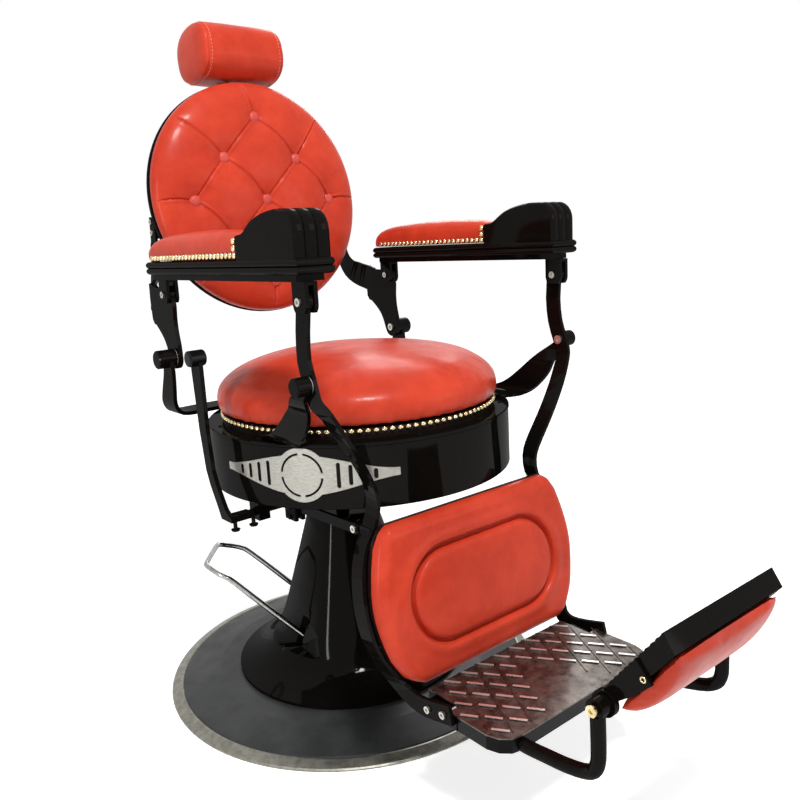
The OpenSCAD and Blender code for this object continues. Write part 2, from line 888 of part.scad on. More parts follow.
// Frame of the back: X across, Y towards the shell, Z up along the back
module back_place() {
    translate([0, back_y, back_z])
        rotate([-back_lean, 0, 0])
            children();
}

module rear_plate() {
    x0 = rear_plate_x - rear_plate_t / 2;
    py = rear_pivot_y;
    arm = smooth([
        [rear_plate_x, 186, 741, 53], [rear_plate_x - 1, 206, 747, 53],
        [239, 223, 755, 52], [228, 240, 768, 47], [lug_x + 6.5, 250, 790, 38],
        [lug_x + 3, 252, 818, 29], [lug_x + 3.5, 250, 838, 25],
        [lug_x + 2.5, 249, 850, 22], [lug_x + 2.5, lug_y, 892, 20]], 3);
    color(black)
        difference() {
            union() {
                side_plate(x0, rear_plate_t)
                    union() {
                        translate(rear_pivot)
                            circle(r = 20, $fn = 64);
                        translate(rear_pin)
                            circle(r = 15, $fn = 64);
                        polygon(smooth([[py - 20, pivot_z], [py - 18.5, 664],
                            [py - 14, 684], [py - 12.5, 709], [py - 15, 732],
                            [rear_pin[0] - 14, 748], [rear_pin[0] - 8, 762],
                            [rear_pin[0] + 10, 764], [165, 763.5], [188, 765.5],
                            [206, 771], [206, 706], [192, 696], [180, 687],
                            [168.5, 677], [159, 666], [151.5, 651], [147, 638],
                            [py + 14, 626], [py, 622]], 2));
                    }
                face_bar(arm, 5);
            }
            along_x(x0 - 1, rear_pivot, pin_r + run_gap, rear_plate_t + 2);
            along_x(x0 - 1, rear_pin, arm_pin_r + run_gap, rear_plate_t + 2);
            for (z = lug_bolt_z)
                along_x(lug_x - 1, [lug_y, z], 3.1, 8, 24);
        }
}

lug_x = back_d / 2 - 8.5;
lug_y = 247.5;
lug_bolt_z = [863, 883];

// Dish behind the cushion with a flat lug on each side for the rear plates
module back_shell() {
    r = back_d / 2 + 3.5;
    wall = 5;
    depth = back_shell_h;
    color(black)
        difference() {
            union() {
                back_place()
                    rotate([-90, 0, 0])
                        rotate_extrude($fn = 128)
                            polygon([[0, depth - wall], [r - 20, depth - wall],
                                [r - 16, depth - 9], [r - 16, 9], [r - 17, 5],
                                [r - 17, soft_gap], [r - 1, soft_gap], [r, 2],
                                [r, 6.5], [r - 2, 8.5], [r - 11, 9.5],
                                [r - 11, depth - 10], [r - 14, depth - 3],
                                [r - 21, depth], [0, depth]]);
                for (s = [-1, 1])
                    translate([s > 0 ? lug_x - 30 : 0.2 - lug_x, lug_y - 9, 852])
                        cube([29.8, 18, 42]);
            }
            for (z = lug_bolt_z)
                translate([-lug_x - 1, lug_y, z])
                    rotate([0, 90, 0])
                        cylinder(r = 3.1, h = 40, $fn = 24);
            for (z = lug_bolt_z)
                along_x(lug_x - 40, [lug_y, z], 3.1, 41, 24);
        }
}

module back_bolts() {
    color(steel)
        for (s = [0, 1], z = lug_bolt_z)
            mirror([s, 0, 0])
                union() {
                    along_x(lug_x - 8, [lug_y, z], 3, 13.4, 24);
                    socket_head_x(lug_x + 5.3, [lug_y, z], 5, 3.5, 1);
                }
}

// Buttons in rows of 1, 2, 3, 2 and 1
tuft_drop = -8;
side_tuft_x = 150;
tufts = [[0, 2 * tuft_pitch], [-tuft_pitch, tuft_pitch], [tuft_pitch, tuft_pitch],
    [-side_tuft_x, 0], [0, 0], [side_tuft_x, 0],
    [-tuft_pitch, -tuft_pitch], [tuft_pitch, -tuft_pitch], [0, -2 * tuft_pitch]];
tuft_points = [for (t = tufts) t + [0, tuft_drop]];
rim_r = back_d / 2 + 10;
pleats = [[0, 1], [0, 2], [1, 3], [1, 4], [2, 4], [2, 5], [3, 6], [4, 6], [4, 7],
    [5, 7], [6, 8], [7, 8]];
pleat_ends = [[0, [0, rim_r]], [1, rim_r * [-0.72, 0.69]], [2, rim_r * [0.72, 0.69]],
    [3, [-rim_r, tuft_drop]], [5, [rim_r, tuft_drop]],
    [6, rim_r * [-0.7, -0.72]], [7, rim_r * [0.7, -0.72]], [8, [0, -rim_r]]];
pleat_pieces = concat(
    [for (p = pleats) [tuft_points[p[0]], tuft_points[p[1]]]],
    [for (p = pleat_ends) [tuft_points[p[0]], p[1]]]);

// How far the sewn tufts and pleats pull the leather in at point q
function tuft_pull(q) =
    max([for (t = tuft_points)
        let (d = norm(q - t)) tuft_depth * exp(-pow(d / 26, 1.3))])
    + 3.5 * exp(-pow(min([for (p = pleat_pieces)
        piece_distance(q, p[0], p[1])]) / 7, 2));

// Plain crown of the back cushion at distance r from its centre
function back_crown(r) =
    back_cushion_h * pow(max(0, 1 - pow(r / (back_d / 2), 3.2)), 0.46);

module back_cushion() {
    around = 60;
    r = back_d / 2;
    shares = [1, 0.995, 0.975, 0.94, 0.885, 0.82, 0.745, 0.665, 0.585, 0.505,
        0.425, 0.345, 0.265, 0.185, 0.12, 0.06, 0.03];
    ring_back = [for (i = [0:around - 1])
        let (a = i * 360 / around) [(r - 9) * cos(a), 0, (r - 9) * sin(a)]];
    ring_side = [for (i = [0:around - 1])
        let (a = i * 360 / around) [(r - 1.5) * cos(a), -5, (r - 1.5) * sin(a)]];
    rings = [for (s = shares)
        [for (i = [0:around - 1])
            let (a = i * 360 / around, q = s * r * [cos(a), sin(a)],
                h = 11 + (back_cushion_h - 11) / back_cushion_h * back_crown(s * r),
                pull = s > 0.99 ? 0 : tuft_pull(q) * min(1, (1 - s) * 12))
            [q[0], -(h - pull), q[1]]]];
    color(red)
        back_place()
            loft(concat([ring_back, ring_side], rings));
}

// Flat covered buttons that sit in the tufts
module back_buttons() {
    color("#c23a2a")
        back_place()
            for (t = tuft_points)
                let (h = 11 + (back_cushion_h - 11) / back_cushion_h
                    * back_crown(norm(t)) - tuft_depth - 3.5)
                translate([t[0], -h - (norm(t) < 15 ? 5.7 : 7.2), t[1]])
                    rotate([90, 0, 0])
                        rotate_extrude($fn = 32)
                            polygon([[0, 0], [9.5, 0], [11.5, 2], [11, 4.5],
                                [8.5, 6.6], [5, 8], [0, 8.6]]);
}

// ------------ headrest

post_y = back_shell_h + 14;
socket_low = 118;
socket_high = 188;
post_low = socket_low - headrest_travel - 6;
post_high = back_d / 2 + 5;

module headrest_socket() {
    color(black)
        back_place()
            difference() {
                union() {
                    translate([-22, back_shell_h + 0.1, socket_low])
                        cube([44, 6, socket_high - socket_low]);
                    translate([0, post_y, socket_low])
                        cylinder(r = post_d / 2 + 6, h = socket_high - socket_low,
                            $fn = 48);
                }
                translate([0, post_y, socket_low - 1])
                    cylinder(r = post_d / 2 + run_gap,
                        h = socket_high - socket_low + 2, $fn = 48);
            }
}

module headrest_post() {
    color(chrome)
        back_place()
            translate([0, post_y, post_low])
                union() {
                    cylinder(r = post_d / 2, h = post_high - post_low - 4, $fn = 48);
                    translate([-34, -24, post_high - post_low - 4])
                        cube([68, 40, 4]);
                }
}

headrest_y = 286;
headrest_z = back_z + 0.62 * back_d + 4.7;

// Section of the bolster: full at the front, flatter below and behind
function bolster_point(a, grow) =
    let (c = cos(a), s = sin(a), n = 0.84,
        y = (headrest_d / 2 + grow) * sign(c) * pow(abs(c), n),
        z = (headrest_h / 2 + grow) * sign(s) * pow(abs(s), s < 0 ? n * 0.86 : n))
    [y, z];

module headrest_cushion() {
    around = 36;
    half = headrest_len / 2;
    seam = half - 14;
    // [x, change of the section's radius] from one end to the middle
    steps = [[half, -40], [half - 0.6, -26], [half - 2.5, -13], [half - 6, -4.5],
        [seam + 2.5, -0.6], [seam, -2.2], [seam - 3, 0], [seam * 0.7, 0.8],
        [seam * 0.35, 1.2], [0, 1.2]];
    all_steps = concat([for (s = steps) [-s[0], s[1]]],
        [for (i = [len(steps) - 2:-1:0]) steps[i]]);
    color(red)
        translate([0, headrest_y, headrest_z])
            rotate([-back_lean, 0, 0])
                loft([for (s = all_steps)
                    [for (i = [0:around - 1])
                        let (p = bolster_point(i * 360 / around, s[1]))
                        [s[0], p[0], p[1]]]]);
}

// ------------ armrests

// Two half-round beads, one above the other, of overall width w
module rail_section(w) {
    h = bead_h + bead_overlap;
    r = h / 2;
    for (z = [0, bead_h - bead_overlap])
        translate([0, z])
            union() {
                translate([r, 0])
                    square([w - h, h]);
                for (x = [r, w - r])
                    translate([x, r])
                        circle(r = r, $fn = 32);
            }
}

// Rail whose beads run round its sides and both ends
module arm_rail(x0) {
    intersection() {
        translate([x0, arm_rear_y, rail_bottom_z])
            rotate([90, 0, 0])
                linear_extrude(arm_len)
                    rail_section(arm_w);
        translate([x0, arm_front_y, rail_bottom_z])
            rotate([90, 0, 90])
                linear_extrude(arm_w)
                    rail_section(arm_len);
    }
}

rib_depth = 4;
block_inset = 1.5;
bead_overlap = 0.8;

// Scrolled block: three rounded ribs over an S-shaped top and a straight front
module arm_block(x0) {
    wide = arm_w - 2 * block_inset;
    top = block_top_z;
    front = block_front_y;
    outline = concat(
        smooth([[block_rear_y, arm_top_z + 35], [-207, arm_top_z + 37.5],
            [-220, top - 20], [-240, top - 9.5], [-264, top - 3.2], [-292, top],
            [-315, top - 0.4]], 2),
        [for (a = [75:-15:0])
            [front + 28 - 28 * cos(a), top - 30 + 29.6 * sin(a)]],
        [[front, arm_top_z - 2]]);
    count = len(outline);
    normals = [for (i = [0:count - 1])
        let (d = outline[min(i + 1, count - 1)] - outline[max(i - 1, 0)])
        unit([d[1], -d[0]])];
    across = 18;
    rib = wide / 3;
    loft([for (k = [0:across])
        let (x = k * wide / across, t = (x % rib) / rib * 2 - 1,
            edge = k == 0 || k == across ? 1 : abs(t),
            sink = rib_depth * (1 - sqrt(max(0, 1 - 0.92 * edge * edge))))
        concat(
            [for (i = [0:count - 1])
                let (q = outline[i] - normals[i] * sink)
                [x0 + x, i == 0 ? block_rear_y : q[0],
                    i == count - 1 ? arm_top_z - 2 : q[1]]],
            [[x0 + x, block_rear_y, arm_top_z - 2]])]);
}

module armrest() {
    x0 = arm_x - arm_w / 2;
    color(black)
        union() {
            arm_rail(x0);
            translate([x0 + 8, arm_front_y + 16, clevis_top_z])
                cube([arm_w - 16, arm_len - 26, under_plate_t + 4]);
            arm_block(x0 + block_inset);
        }
}

pad_front_y = block_rear_y + 0.3;
pad_inset = 3.5;

// Crowned pad: straight at the front, rounded off towards the rear
module arm_pad() {
    half = arm_w / 2 - pad_inset;
    base_z = arm_top_z + soft_gap;
    // [share of the length, share of the height, share of the width]
    steps = [[0, 0.8, 1.02], [0.015, 0.85, 1.03], [0.06, 0.92, 1.03], [0.16, 0.97, 1.03],
        [0.32, 1, 1.03], [0.5, 1, 1.03], [0.66, 0.98, 1.03], [0.8, 0.94, 1.03],
        [0.89, 0.87, 1.03], [0.95, 0.76, 1.02], [0.985, 0.6, 0.98], [1, 0.38, 0.91]];
    around = 18;
    color(red)
        loft([for (s = steps)
            let (y = pad_front_y + s[0] * pad_len, w = half * s[2], h = pad_h * s[1],
                wall = min(14, h * 0.42))
            concat([[arm_x - half * 0.94 * min(1, s[2]), y, base_z]],
                [for (i = [0:around])
                    let (a = 180 - i * 180 / around)
                    [arm_x + w * sign(cos(a)) * pow(abs(cos(a)), 0.62), y,
                        base_z + wall + (h - wall) * pow(sin(a), 0.9)]],
                [[arm_x + half * 0.94 * min(1, s[2]), y, base_z]])]);
}

arm_nail_pitch = 12.4;

module arm_nails() {
    half = arm_w / 2 - pad_inset + 0.93;
    z = arm_top_z + nail_r + 1.6;
    n = floor((pad_len - 26) / arm_nail_pitch);
    color(brass)
        for (s = [-1, 1])
            union() {
                for (i = [0:n])
                    translate([arm_x + s * half, pad_front_y + 7 + i * arm_nail_pitch, z])
                        rotate([0, s * 90, 0])
                            nail();
                for (k = [1:2])
                    translate([arm_x + s * (half - 0.3 * k * (k - 1)), pad_front_y + 7,
                        z + k * nail_d * 1.15])
                        rotate([0, s * 90, 0])
                            nail();
            }
}

clevis_gap = 1.3;
clevis_lug_t = 6;
arm_pin_r = 4;
clevis_lug_w = 32;

// Fork that straddles a plate of thickness t standing at x
module clevis(x, pin, t) {
    gap = t / 2 + clevis_gap;
    difference() {
        union() {
            translate([x - gap - clevis_lug_t, pin[0] - clevis_lug_w / 2,
                clevis_top_z - 5.1])
                cube([2 * (gap + clevis_lug_t), clevis_lug_w, 5]);
            for (x1 = [x - gap - clevis_lug_t, x + gap])
                side_plate(x1, clevis_lug_t)
                    union() {
                        translate([pin[0] - clevis_lug_w / 2, pin[1] - 3])
                            square([clevis_lug_w, clevis_top_z - pin[1] - 2]);
                        translate([pin[0], pin[1] - 3])
                            intersection() {
                                circle(r = clevis_lug_w / 2, $fn = 64);
                                square([clevis_lug_w, 24], center = true);
                            }
                    }
        }
        along_x(x - gap - clevis_lug_t - 1, pin, arm_pin_r,
            2 * (gap + clevis_lug_t + 1));
    }
}

module arm_clevises() {
    color(black)
        union() {
            clevis(strap_pin_x, front_pin, strap_t);
            clevis(rear_plate_x, rear_pin, rear_plate_t);
        }
}

module arm_pins() {
    color(steel)
        for (p = [[strap_pin_x, front_pin, strap_t], [rear_plate_x, rear_pin, rear_plate_t]])
            let (reach = p[2] / 2 + clevis_gap + clevis_lug_t)
            union() {
                along_x(p[0] - reach - 0.1, p[1], arm_pin_r, 2 * reach + 0.2);
                socket_head_x(p[0] - reach - 0.1, p[1], 5.8, 3.5, -1);
                socket_head_x(p[0] + reach + 0.1, p[1], 5.8, 3.5, 1);
            }
}

// ------------ footrest frame

kick_top = [-362.3, 422.5];
kick_board_t = 6;
kick_base = 10;

// Frame of the leg panel: X across, Y out of its face, Z down its slope
module kick_place() {
    translate([0, kick_top[0], kick_top[1]])
        rotate([180 - kick_lean, 0, 0])
            children();
}

// Half width of the leg panel at distance s down its slope
kick_widths = [[0, 0.838], [0.12, 0.92], [0.32, 0.981], [0.48, 1], [0.64, 0.977],
    [0.8, 0.925], [0.92, 0.84], [1, 0.73]];
function kick_half(s) = kick_half_w * table_value(kick_widths, s / kick_len);
kick_corner = 12;

// Outline of the leg panel as points round it, shrunk by d
function kick_outline(d, n = 10) =
    let (side = [for (i = [0:n])
            let (u = i / n, s = kick_len * (0.5 - 0.5 * cos(180 * u)),
                soft = i == 0 || i == n ? kick_corner : i == 1 || i == n - 1 ? 1.5 : 0)
            [kick_half(s) - soft - d, min(kick_len - d, max(d, s))]])
    concat(side, [for (i = [n:-1:0]) [-side[i][0], side[i][1]]]);

module kick_board() {
    color(black)
        kick_place()
            translate([0, -kick_base, 0])
                rotate([90, 0, 0])
                    linear_extrude(kick_board_t)
                        polygon(kick_outline(0));
}

kick_oval_half = [152, 72];
kick_oval_mid = 127;

// Point of the raised oval's edge on the ray from its middle towards p
function oval_edge(p) =
    let (straight = kick_oval_half[0] - kick_oval_half[1], r = kick_oval_half[1],
        d = p - [0, kick_oval_mid], u = d / norm(d),
        side = abs(u[1]) < 0.0001 ? 1e9 : r / abs(u[1]),
        b = abs(u[0]) * straight,
        round = b + sqrt(max(0, b * b - straight * straight + r * r)))
    [0, kick_oval_mid] + u * (side * abs(u[0]) <= straight ? side : round);

// Height of the leather: s runs 0 to 1 from rim to groove, 2 at the middle
function kick_height(s, edge) =
    let (border = kick_base + (kick_cushion_h - kick_base) * 0.75,
        rim = pow(max(0, 1 - pow(1 - min(1, edge / 26), 2.2)), 0.55),
        groove = 9 * exp(-pow((s - 1) * (s < 1 ? 6 : 9), 2)))
    rim * border + (s > 1 ? 5 * (1 - exp((1 - s) * 6)) : 0) - groove;

module kick_cushion() {
    steps = [0, 0.04, 0.12, 0.25, 0.42, 0.62, 0.76, 0.86, 0.94, 1, 1.05, 1.12,
        1.24, 1.45, 1.8];
    n = 18;
    base = kick_outline(1.5, n);
    count = len(base);
    color(red)
        kick_place()
            loft(concat(
                [[for (p = base) [p[0], -kick_base + soft_gap, p[1]]]],
                [for (s = steps)
                    [for (p = base)
                        let (o = oval_edge(p),
                            core = [o[0] * 0.5, kick_oval_mid],
                            q = s < 1 ? p + (o - p) * s : o + (core - o) * (s - 1))
                        [q[0], -kick_base + 2 + kick_height(s, norm(q - p)),
                            q[1]]]]));
}

ear_t = 6;

module front_strap() {
    x = strap_pivot_x;
    path = smooth([
        [strap_pin_x, -324, 758, strap_w], [258, -318, 712, strap_w],
        [x, -320, 672, strap_w], [x, -329, 645, strap_w], [x, -334.5, 627, strap_w],
        [x - 0.4, -336.4, 620, strap_w], [256.6, -339, 610, strap_w],
        [247, -343, 597, strap_w], [230, -346, 568, strap_w],
        [207, -346, 530, strap_w], [188, -343, 498, strap_w],
        [174.5, -338, 470, strap_w], [170.5, -334, 446, strap_w],
        [177, -332, 417, strap_w], [193, -334, 393, strap_w],
        [208, -341, 364, strap_w], [217, -350, 331, strap_w],
        [219.5, -357, 298, strap_w], [215, -363, 260, strap_w],
        [203.5, -370, 225, strap_w], [187, -380, 194, strap_w],
        [176, -397, 172, strap_w], [172.5, -420, 164, strap_w],
        [172.5, -452, 168, strap_w], [172.5, -490, 177, strap_w]], 2);
    difference() {
        union() {
            face_bar(path, strap_t);
            along_x(strap_pin_x - strap_t / 2, front_pin, strap_w / 2, strap_t);
            // Tabs that carry the leg panel's board
            kick_place()
                for (t = [[160, 12], [185, 174]])
                    translate([t[0], -kick_base - kick_board_t - 6.1, t[1]])
                        cube([24, 6, 16]);
        }
        along_x(x - 10, front_pivot, pin_r + run_gap, 20);
        along_x(strap_pin_x - 10, front_pin, arm_pin_r + run_gap, 20);
        for (b = foot_bolts)
            along_x(162, b, foot_bolt_r, 20, 24);
    }
}

foot_bolts = [[-442.7, 166.4], [-475.3, 173]];
foot_bolt_r = 3;

module front_strap_left() {
    color(black)
        front_strap();
}

// The right strap also carries the ear of the link bar
module front_strap_right() {
    ear_x = link_x - link_t / 2 - slide_gap - ear_t;
    color(black)
        on_right()
            difference() {
                union() {
                    front_strap();
                    along_x(ear_x, link_end, 11, ear_t);
                    translate([ear_x, link_end[0] - 42, link_end[1] - 10])
                        cube([ear_t, 42, 20]);
                    translate([ear_x, link_end[0] - 42, link_end[1] - 10])
                        cube([ear_t + 8, 26, 20]);
                }
                along_x(ear_x - 1, link_end, link_pin_r, ear_t + 2);
            }
}

// Socket screws of the footplate and the shoulder screw of the link bar
module footrest_bolts() {
    color(steel)
        union() {
            for (s = [0, 1], b = foot_bolts)
                mirror([s, 0, 0])
                    union() {
                        along_x(152, b, foot_bolt_r - 0.05, 23.7, 24);
                        socket_head_x(175.6, b, 5.5, 3.5, 1);
                    }
            on_right()
                union() {
                    along_x(link_x - link_t / 2 - slide_gap - ear_t, link_end,
                        link_pin_r - 0.02, ear_t + link_t + 2 * slide_gap, 32);
                    socket_head_x(link_x + link_t / 2 + slide_gap - 0.01, link_end,
                        5.8, 3.5, 1);
                }
        }
}

foot_rear_y = -415;
foot_step_y = -479;
foot_front_y = -586;
foot_rear_half = 150;
foot_top_t = 6;

module foot_outline() {
    w = foot_half_w;
    polygon([[-foot_rear_half, foot_rear_y], [foot_rear_half, foot_rear_y],
        [foot_rear_half, foot_step_y], [w, foot_step_y], [w, foot_front_y + 34],
        [w - 6, foot_front_y + 16], [w - 18, foot_front_y + 4],
        [w - 34, foot_front_y], [34 - w, foot_front_y], [18 - w, foot_front_y + 4],
        [6 - w, foot_front_y + 16], [-w, foot_front_y + 34], [-w, foot_step_y],
        [-foot_rear_half, foot_step_y]]);
}

tread_rise = 26.4;
tread_lean = 14;
// Plain triangle in the middle of the tread: apex and base corners
plain_mark = [[2, -452], [-60, -570], [70, -566]];

function inside_mark(p) =
    p[1] < plain_mark[0][1] + 4 && p[1] > plain_mark[1][1] - 4
    && p[0] > plain_mark[0][0] - 8 + (plain_mark[0][1] - p[1]) * -0.56
    && p[0] < plain_mark[0][0] + 8 + (plain_mark[0][1] - p[1]) * 0.6;

module tread_bar(p) {
    translate([p[0], p[1], 0])
        rotate([0, 0, -56])
            translate([-12.5, -2.2, 0])
                cube([25, 4.4, tread_h + 0.1]);
}

// Raised bars in a slanted lattice with thin ribs between their columns
module tread() {
    rib_len = norm([tread_lean, tread_rise]);
    lean = atan2(-tread_rise, -tread_lean);
    for (j = [0:5], i = [-6:8])
        let (p = [i * tread_pitch - tread_lean * j - 8, foot_rear_y - 13 - tread_rise * j],
            limit = (p[1] < foot_step_y ? foot_half_w : foot_rear_half) - 10)
        if (abs(p[0]) < limit && p[1] > foot_front_y + 12 && !inside_mark(p))
            tread_bar(p);
    for (j = [0:5], i = [-6:8])
        let (p = [i * tread_pitch - tread_lean * j - 8 + tread_pitch / 2,
                foot_rear_y - 13 - tread_rise * j],
            limit = (p[1] < foot_step_y ? foot_half_w : foot_rear_half) - 10)
        if (abs(p[0]) < limit && p[1] > foot_front_y + 16 && !inside_mark(p))
            translate([p[0], p[1], 0])
                rotate([0, 0, lean])
                    translate([-rib_len / 2, -1, 0])
                        cube([rib_len, 2, tread_h * 0.6 + 0.1]);
}

module footplate() {
    color("#2b2624")
        difference() {
            union() {
                translate([0, 0, foot_z - foot_skirt])
                    linear_extrude(foot_skirt)
                        foot_outline();
                translate([0, 0, foot_z - 0.1])
                    tread();
                // Side blocks that the straps are screwed to
                for (s = [-1, 1])
                    translate([s > 0 ? foot_rear_half - 4 : -169.2, foot_step_y - 16,
                        foot_z - foot_skirt])
                        cube([173.2 - foot_rear_half, 66, 17]);
            }
            // Hollow underside
            difference() {
                translate([0, 0, foot_z - foot_skirt - 1])
                    linear_extrude(foot_skirt + 1 - foot_top_t)
                        polygon([[-foot_rear_half + 14, foot_rear_y - 8],
                            [foot_rear_half - 14, foot_rear_y - 8],
                            [foot_rear_half - 14, foot_front_y + 10],
                            [-foot_rear_half + 14, foot_front_y + 10]]);
                for (x = [-70, 0, 70])
                    translate([x - 3, foot_front_y, 0])
                        cube([6, foot_rear_y - foot_front_y, foot_z]);
            }
            for (s = [-1, 1], b = foot_bolts)
                translate([s > 0 ? 151 : -171, b[0], b[1]])
                    rotate([0, 90, 0])
                        cylinder(r = foot_bolt_r, h = 20, $fn = 24);
            for (s = [-1, 1])
                flap_tube_bore(s);
        }
}

flap_arm_x = 132;

// Bore in the footplate's front skirt for a flap arm
module flap_tube_bore(s) {
    translate([s * flap_arm_x, foot_front_y + 30, flap_foot_z])
        rotate([90, 0, 0])
            cylinder(r = flap_tube_d / 2 + 0.2, h = 40, $fn = 40);
}

flap_foot_z = foot_z - foot_skirt + 7;

module foot_bumpers() {
    color("#101010")
        for (s = [-1, 1])
            translate([s * 104, foot_front_y + 22, foot_z - foot_skirt - 14])
                rotate_extrude($fn = 40)
                    polygon([[0, 0], [10, 0], [13, 3], [13, 13.9], [0, 13.9]]);
}

// ------------ foot flap

flap_hinge = [-flap_hinge_y, flap_hinge_z];
flap_lug_r = 13;
flap_pin_r = 5;
flap_lug_x0 = flap_w / 2 + 8.5;

module flap_arm() {
    r = flap_tube_d / 2;
    x1 = flap_lug_x0 + r + 0.2;
    path = smooth([
        [flap_arm_x, foot_front_y + 26, flap_foot_z],
        [flap_arm_x, foot_front_y - 6, flap_foot_z],
        [flap_arm_x + 1, -622, flap_foot_z + 4], [flap_arm_x + 4, -660, 172],
        [x1 - 1.5, -690, 180], [x1, -706, 190], [x1, -712, 204],
        [x1, -713, 222], [x1, flap_hinge[0], flap_hinge[1] - 9.5]], 3);
    color(black)
        difference() {
            union() {
                tube(path, r, [1, 0, 0], 16);
                along_x(flap_lug_x0, flap_hinge, flap_lug_r, 16);
            }
            along_x(flap_lug_x0 - 1, flap_hinge, flap_pin_r + run_gap, 18);
        }
}

// Frame of the flap: X across, Y out of its padded face, Z up its slope
module flap_place() {
    translate([0, flap_hinge[0], flap_hinge[1]])
        rotate([90 - flap_slope, 0, 0])
            mirror([0, 1, 0])
                children();
}

flap_low = -flap_len * 0.1;
flap_high = flap_low + flap_len;
flap_face = -12.5;

// Frame with a scalloped tread on its inner face and the hinge blocks
module flap_frame() {
    scallop = 11;
    count = floor((flap_len - 40) / scallop);
    color(black)
        flap_place()
            difference() {
                union() {
                    rotate([90, 0, 90])
                        translate([0, 0, -flap_w / 2])
                            linear_extrude(flap_w)
                                polygon(concat(
                                    [[flap_face, flap_high], [flap_face + flap_t, flap_high - 8],
                                    [flap_face + flap_t, flap_high - 20],
                                    [flap_face + flap_t - 2, flap_low + 44],
                                    [flap_face + flap_t - 6, flap_low + 20],
                                    [flap_face + flap_t - 16, flap_low],
                                    [flap_face + 4, flap_low], [flap_face, flap_low + 6]],
                                    [for (i = [0:count], k = [0:3])
                                        [flap_face - 2 * sin(k * 45),
                                        flap_low + 34 + (i + k / 4) * scallop]]));
                    for (s = [-1, 1])
                        along_x(s > 0 ? flap_w / 2 - 0.7 : -flap_w / 2 - 8, [0, 0], 17, 8.7);
                    // Cheeks beside the hinges
                    for (x = [-flap_w / 2 - 4, flap_w / 2 - 0.7])
                        side_plate(x, 4.7)
                            polygon([[flap_face, flap_low + 12], [flap_face, flap_low + 98],
                                [flap_face + flap_t + 8, flap_low + 92],
                                [flap_face + flap_t + 3, flap_low + 58],
                                [flap_face + flap_t - 6, flap_low + 24],
                                [flap_face + 10, flap_low + 3]]);
                }
                along_x(-flap_w, [0, 0], flap_pin_r, flap_w * 2);
            }
}

module flap_cushion() {
    around = 14;
    steps = 16;
    low = flap_low + 8;
    high = flap_high - 9;
    base = flap_face + flap_t + soft_gap;
    half = flap_w / 2 - 1;
    color(red)
        flap_place()
            loft([for (i = [0:steps])
                let (u = i / steps * 2 - 1, x = u * half,
                    end = pow(max(0, 1 - pow(abs(u), 9)), 0.5))
                concat([[x, base, low + 22 * 0.2], [x, base, high]],
                    [for (k = [1:around - 1])
                        let (v = k / around,
                            bulge = (0.22 + 0.78 * end) * pow(sin(180 * v), 0.55)
                                * (0.72 + 0.28 * v))
                        [x, base + flap_cushion_h * bulge,
                            high + (low - high) * v]])]);
}

module flap_pins() {
    color(brass)
        for (s = [0, 1])
            mirror([s, 0, 0])
                union() {
                    along_x(flap_w / 2 - 12, flap_hinge, flap_pin_r - 0.02, 40);
                    socket_head_x(flap_w / 2 + 28, flap_hinge, flap_pin_r + 2.5, 3.5, 1);
                }
}

base_disc();
base_trim_ring();
base_bolts();
pump_cover();
pump_cylinder();
pedal_axle();
pedal_hub();
pedal_loop();
piston();
swivel_bearing();
seat_frame();
seat_drum();
drum_top_ring();
seat_screws();
seat_board();
seat_cushion();
seat_nails();
drum_badge();
front_bracket();  // front_bracket_left
on_right() front_bracket();  // front_bracket_right
rear_bracket();  // rear_bracket_left
on_right() rear_bracket();  // rear_bracket_right
pivot_pins();
pivot_washers();
lever_bracket();
lock_clamp();
recline_lever();
lever_knob();
lock_bar();
rear_plate();  // rear_plate_left
on_right() rear_plate();  // rear_plate_right
back_shell();
back_cushion();
back_buttons();
back_bolts();
headrest_socket();
headrest_post();
headrest_cushion();
armrest();  // armrest_left
on_right() armrest();  // armrest_right
arm_pad();  // arm_pad_left
on_right() arm_pad();  // arm_pad_right
arm_nails();  // arm_nails_left
on_right() arm_nails();  // arm_nails_right
arm_clevises();  // arm_clevises_left
on_right() arm_clevises();  // arm_clevises_right
arm_pins();  // arm_pins_left
on_right() arm_pins();  // arm_pins_right
front_strap_left();
front_strap_right();
kick_board();
kick_cushion();
footplate();
footrest_bolts();
foot_bumpers();
flap_arm();  // flap_arm_left
on_right() flap_arm();  // flap_arm_right
flap_frame();
flap_cushion();
flap_pins();
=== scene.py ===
# %% [markdown]
# # A hydraulic barber chair: dressing a fixed frame
# The chair's rigid parts come from a CAD model: base, pump, seat drum, arms, back plates and
# footrest. Blender adds what CAD is poor at: stuffed leather, brass nails, enamel and worn
# steel. Each step below first says what the real piece is and then builds it.

import json
import math

import bmesh
import bpy
from mathutils import Matrix, Vector
from mathutils.bvhtree import BVHTree


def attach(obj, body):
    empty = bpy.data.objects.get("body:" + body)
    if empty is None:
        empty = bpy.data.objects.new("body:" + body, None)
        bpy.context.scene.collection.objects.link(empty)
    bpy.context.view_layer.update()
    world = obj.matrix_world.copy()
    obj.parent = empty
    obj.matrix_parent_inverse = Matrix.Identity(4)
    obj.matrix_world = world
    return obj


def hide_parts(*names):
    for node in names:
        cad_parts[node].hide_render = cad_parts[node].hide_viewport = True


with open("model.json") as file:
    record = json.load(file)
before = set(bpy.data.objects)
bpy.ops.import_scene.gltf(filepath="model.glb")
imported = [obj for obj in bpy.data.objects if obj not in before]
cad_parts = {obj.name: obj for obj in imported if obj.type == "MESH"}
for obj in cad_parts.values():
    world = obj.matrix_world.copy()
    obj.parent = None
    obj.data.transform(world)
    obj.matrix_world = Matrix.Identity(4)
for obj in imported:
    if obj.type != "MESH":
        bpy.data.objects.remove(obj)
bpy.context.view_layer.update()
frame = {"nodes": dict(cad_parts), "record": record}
nodes = frame["nodes"]

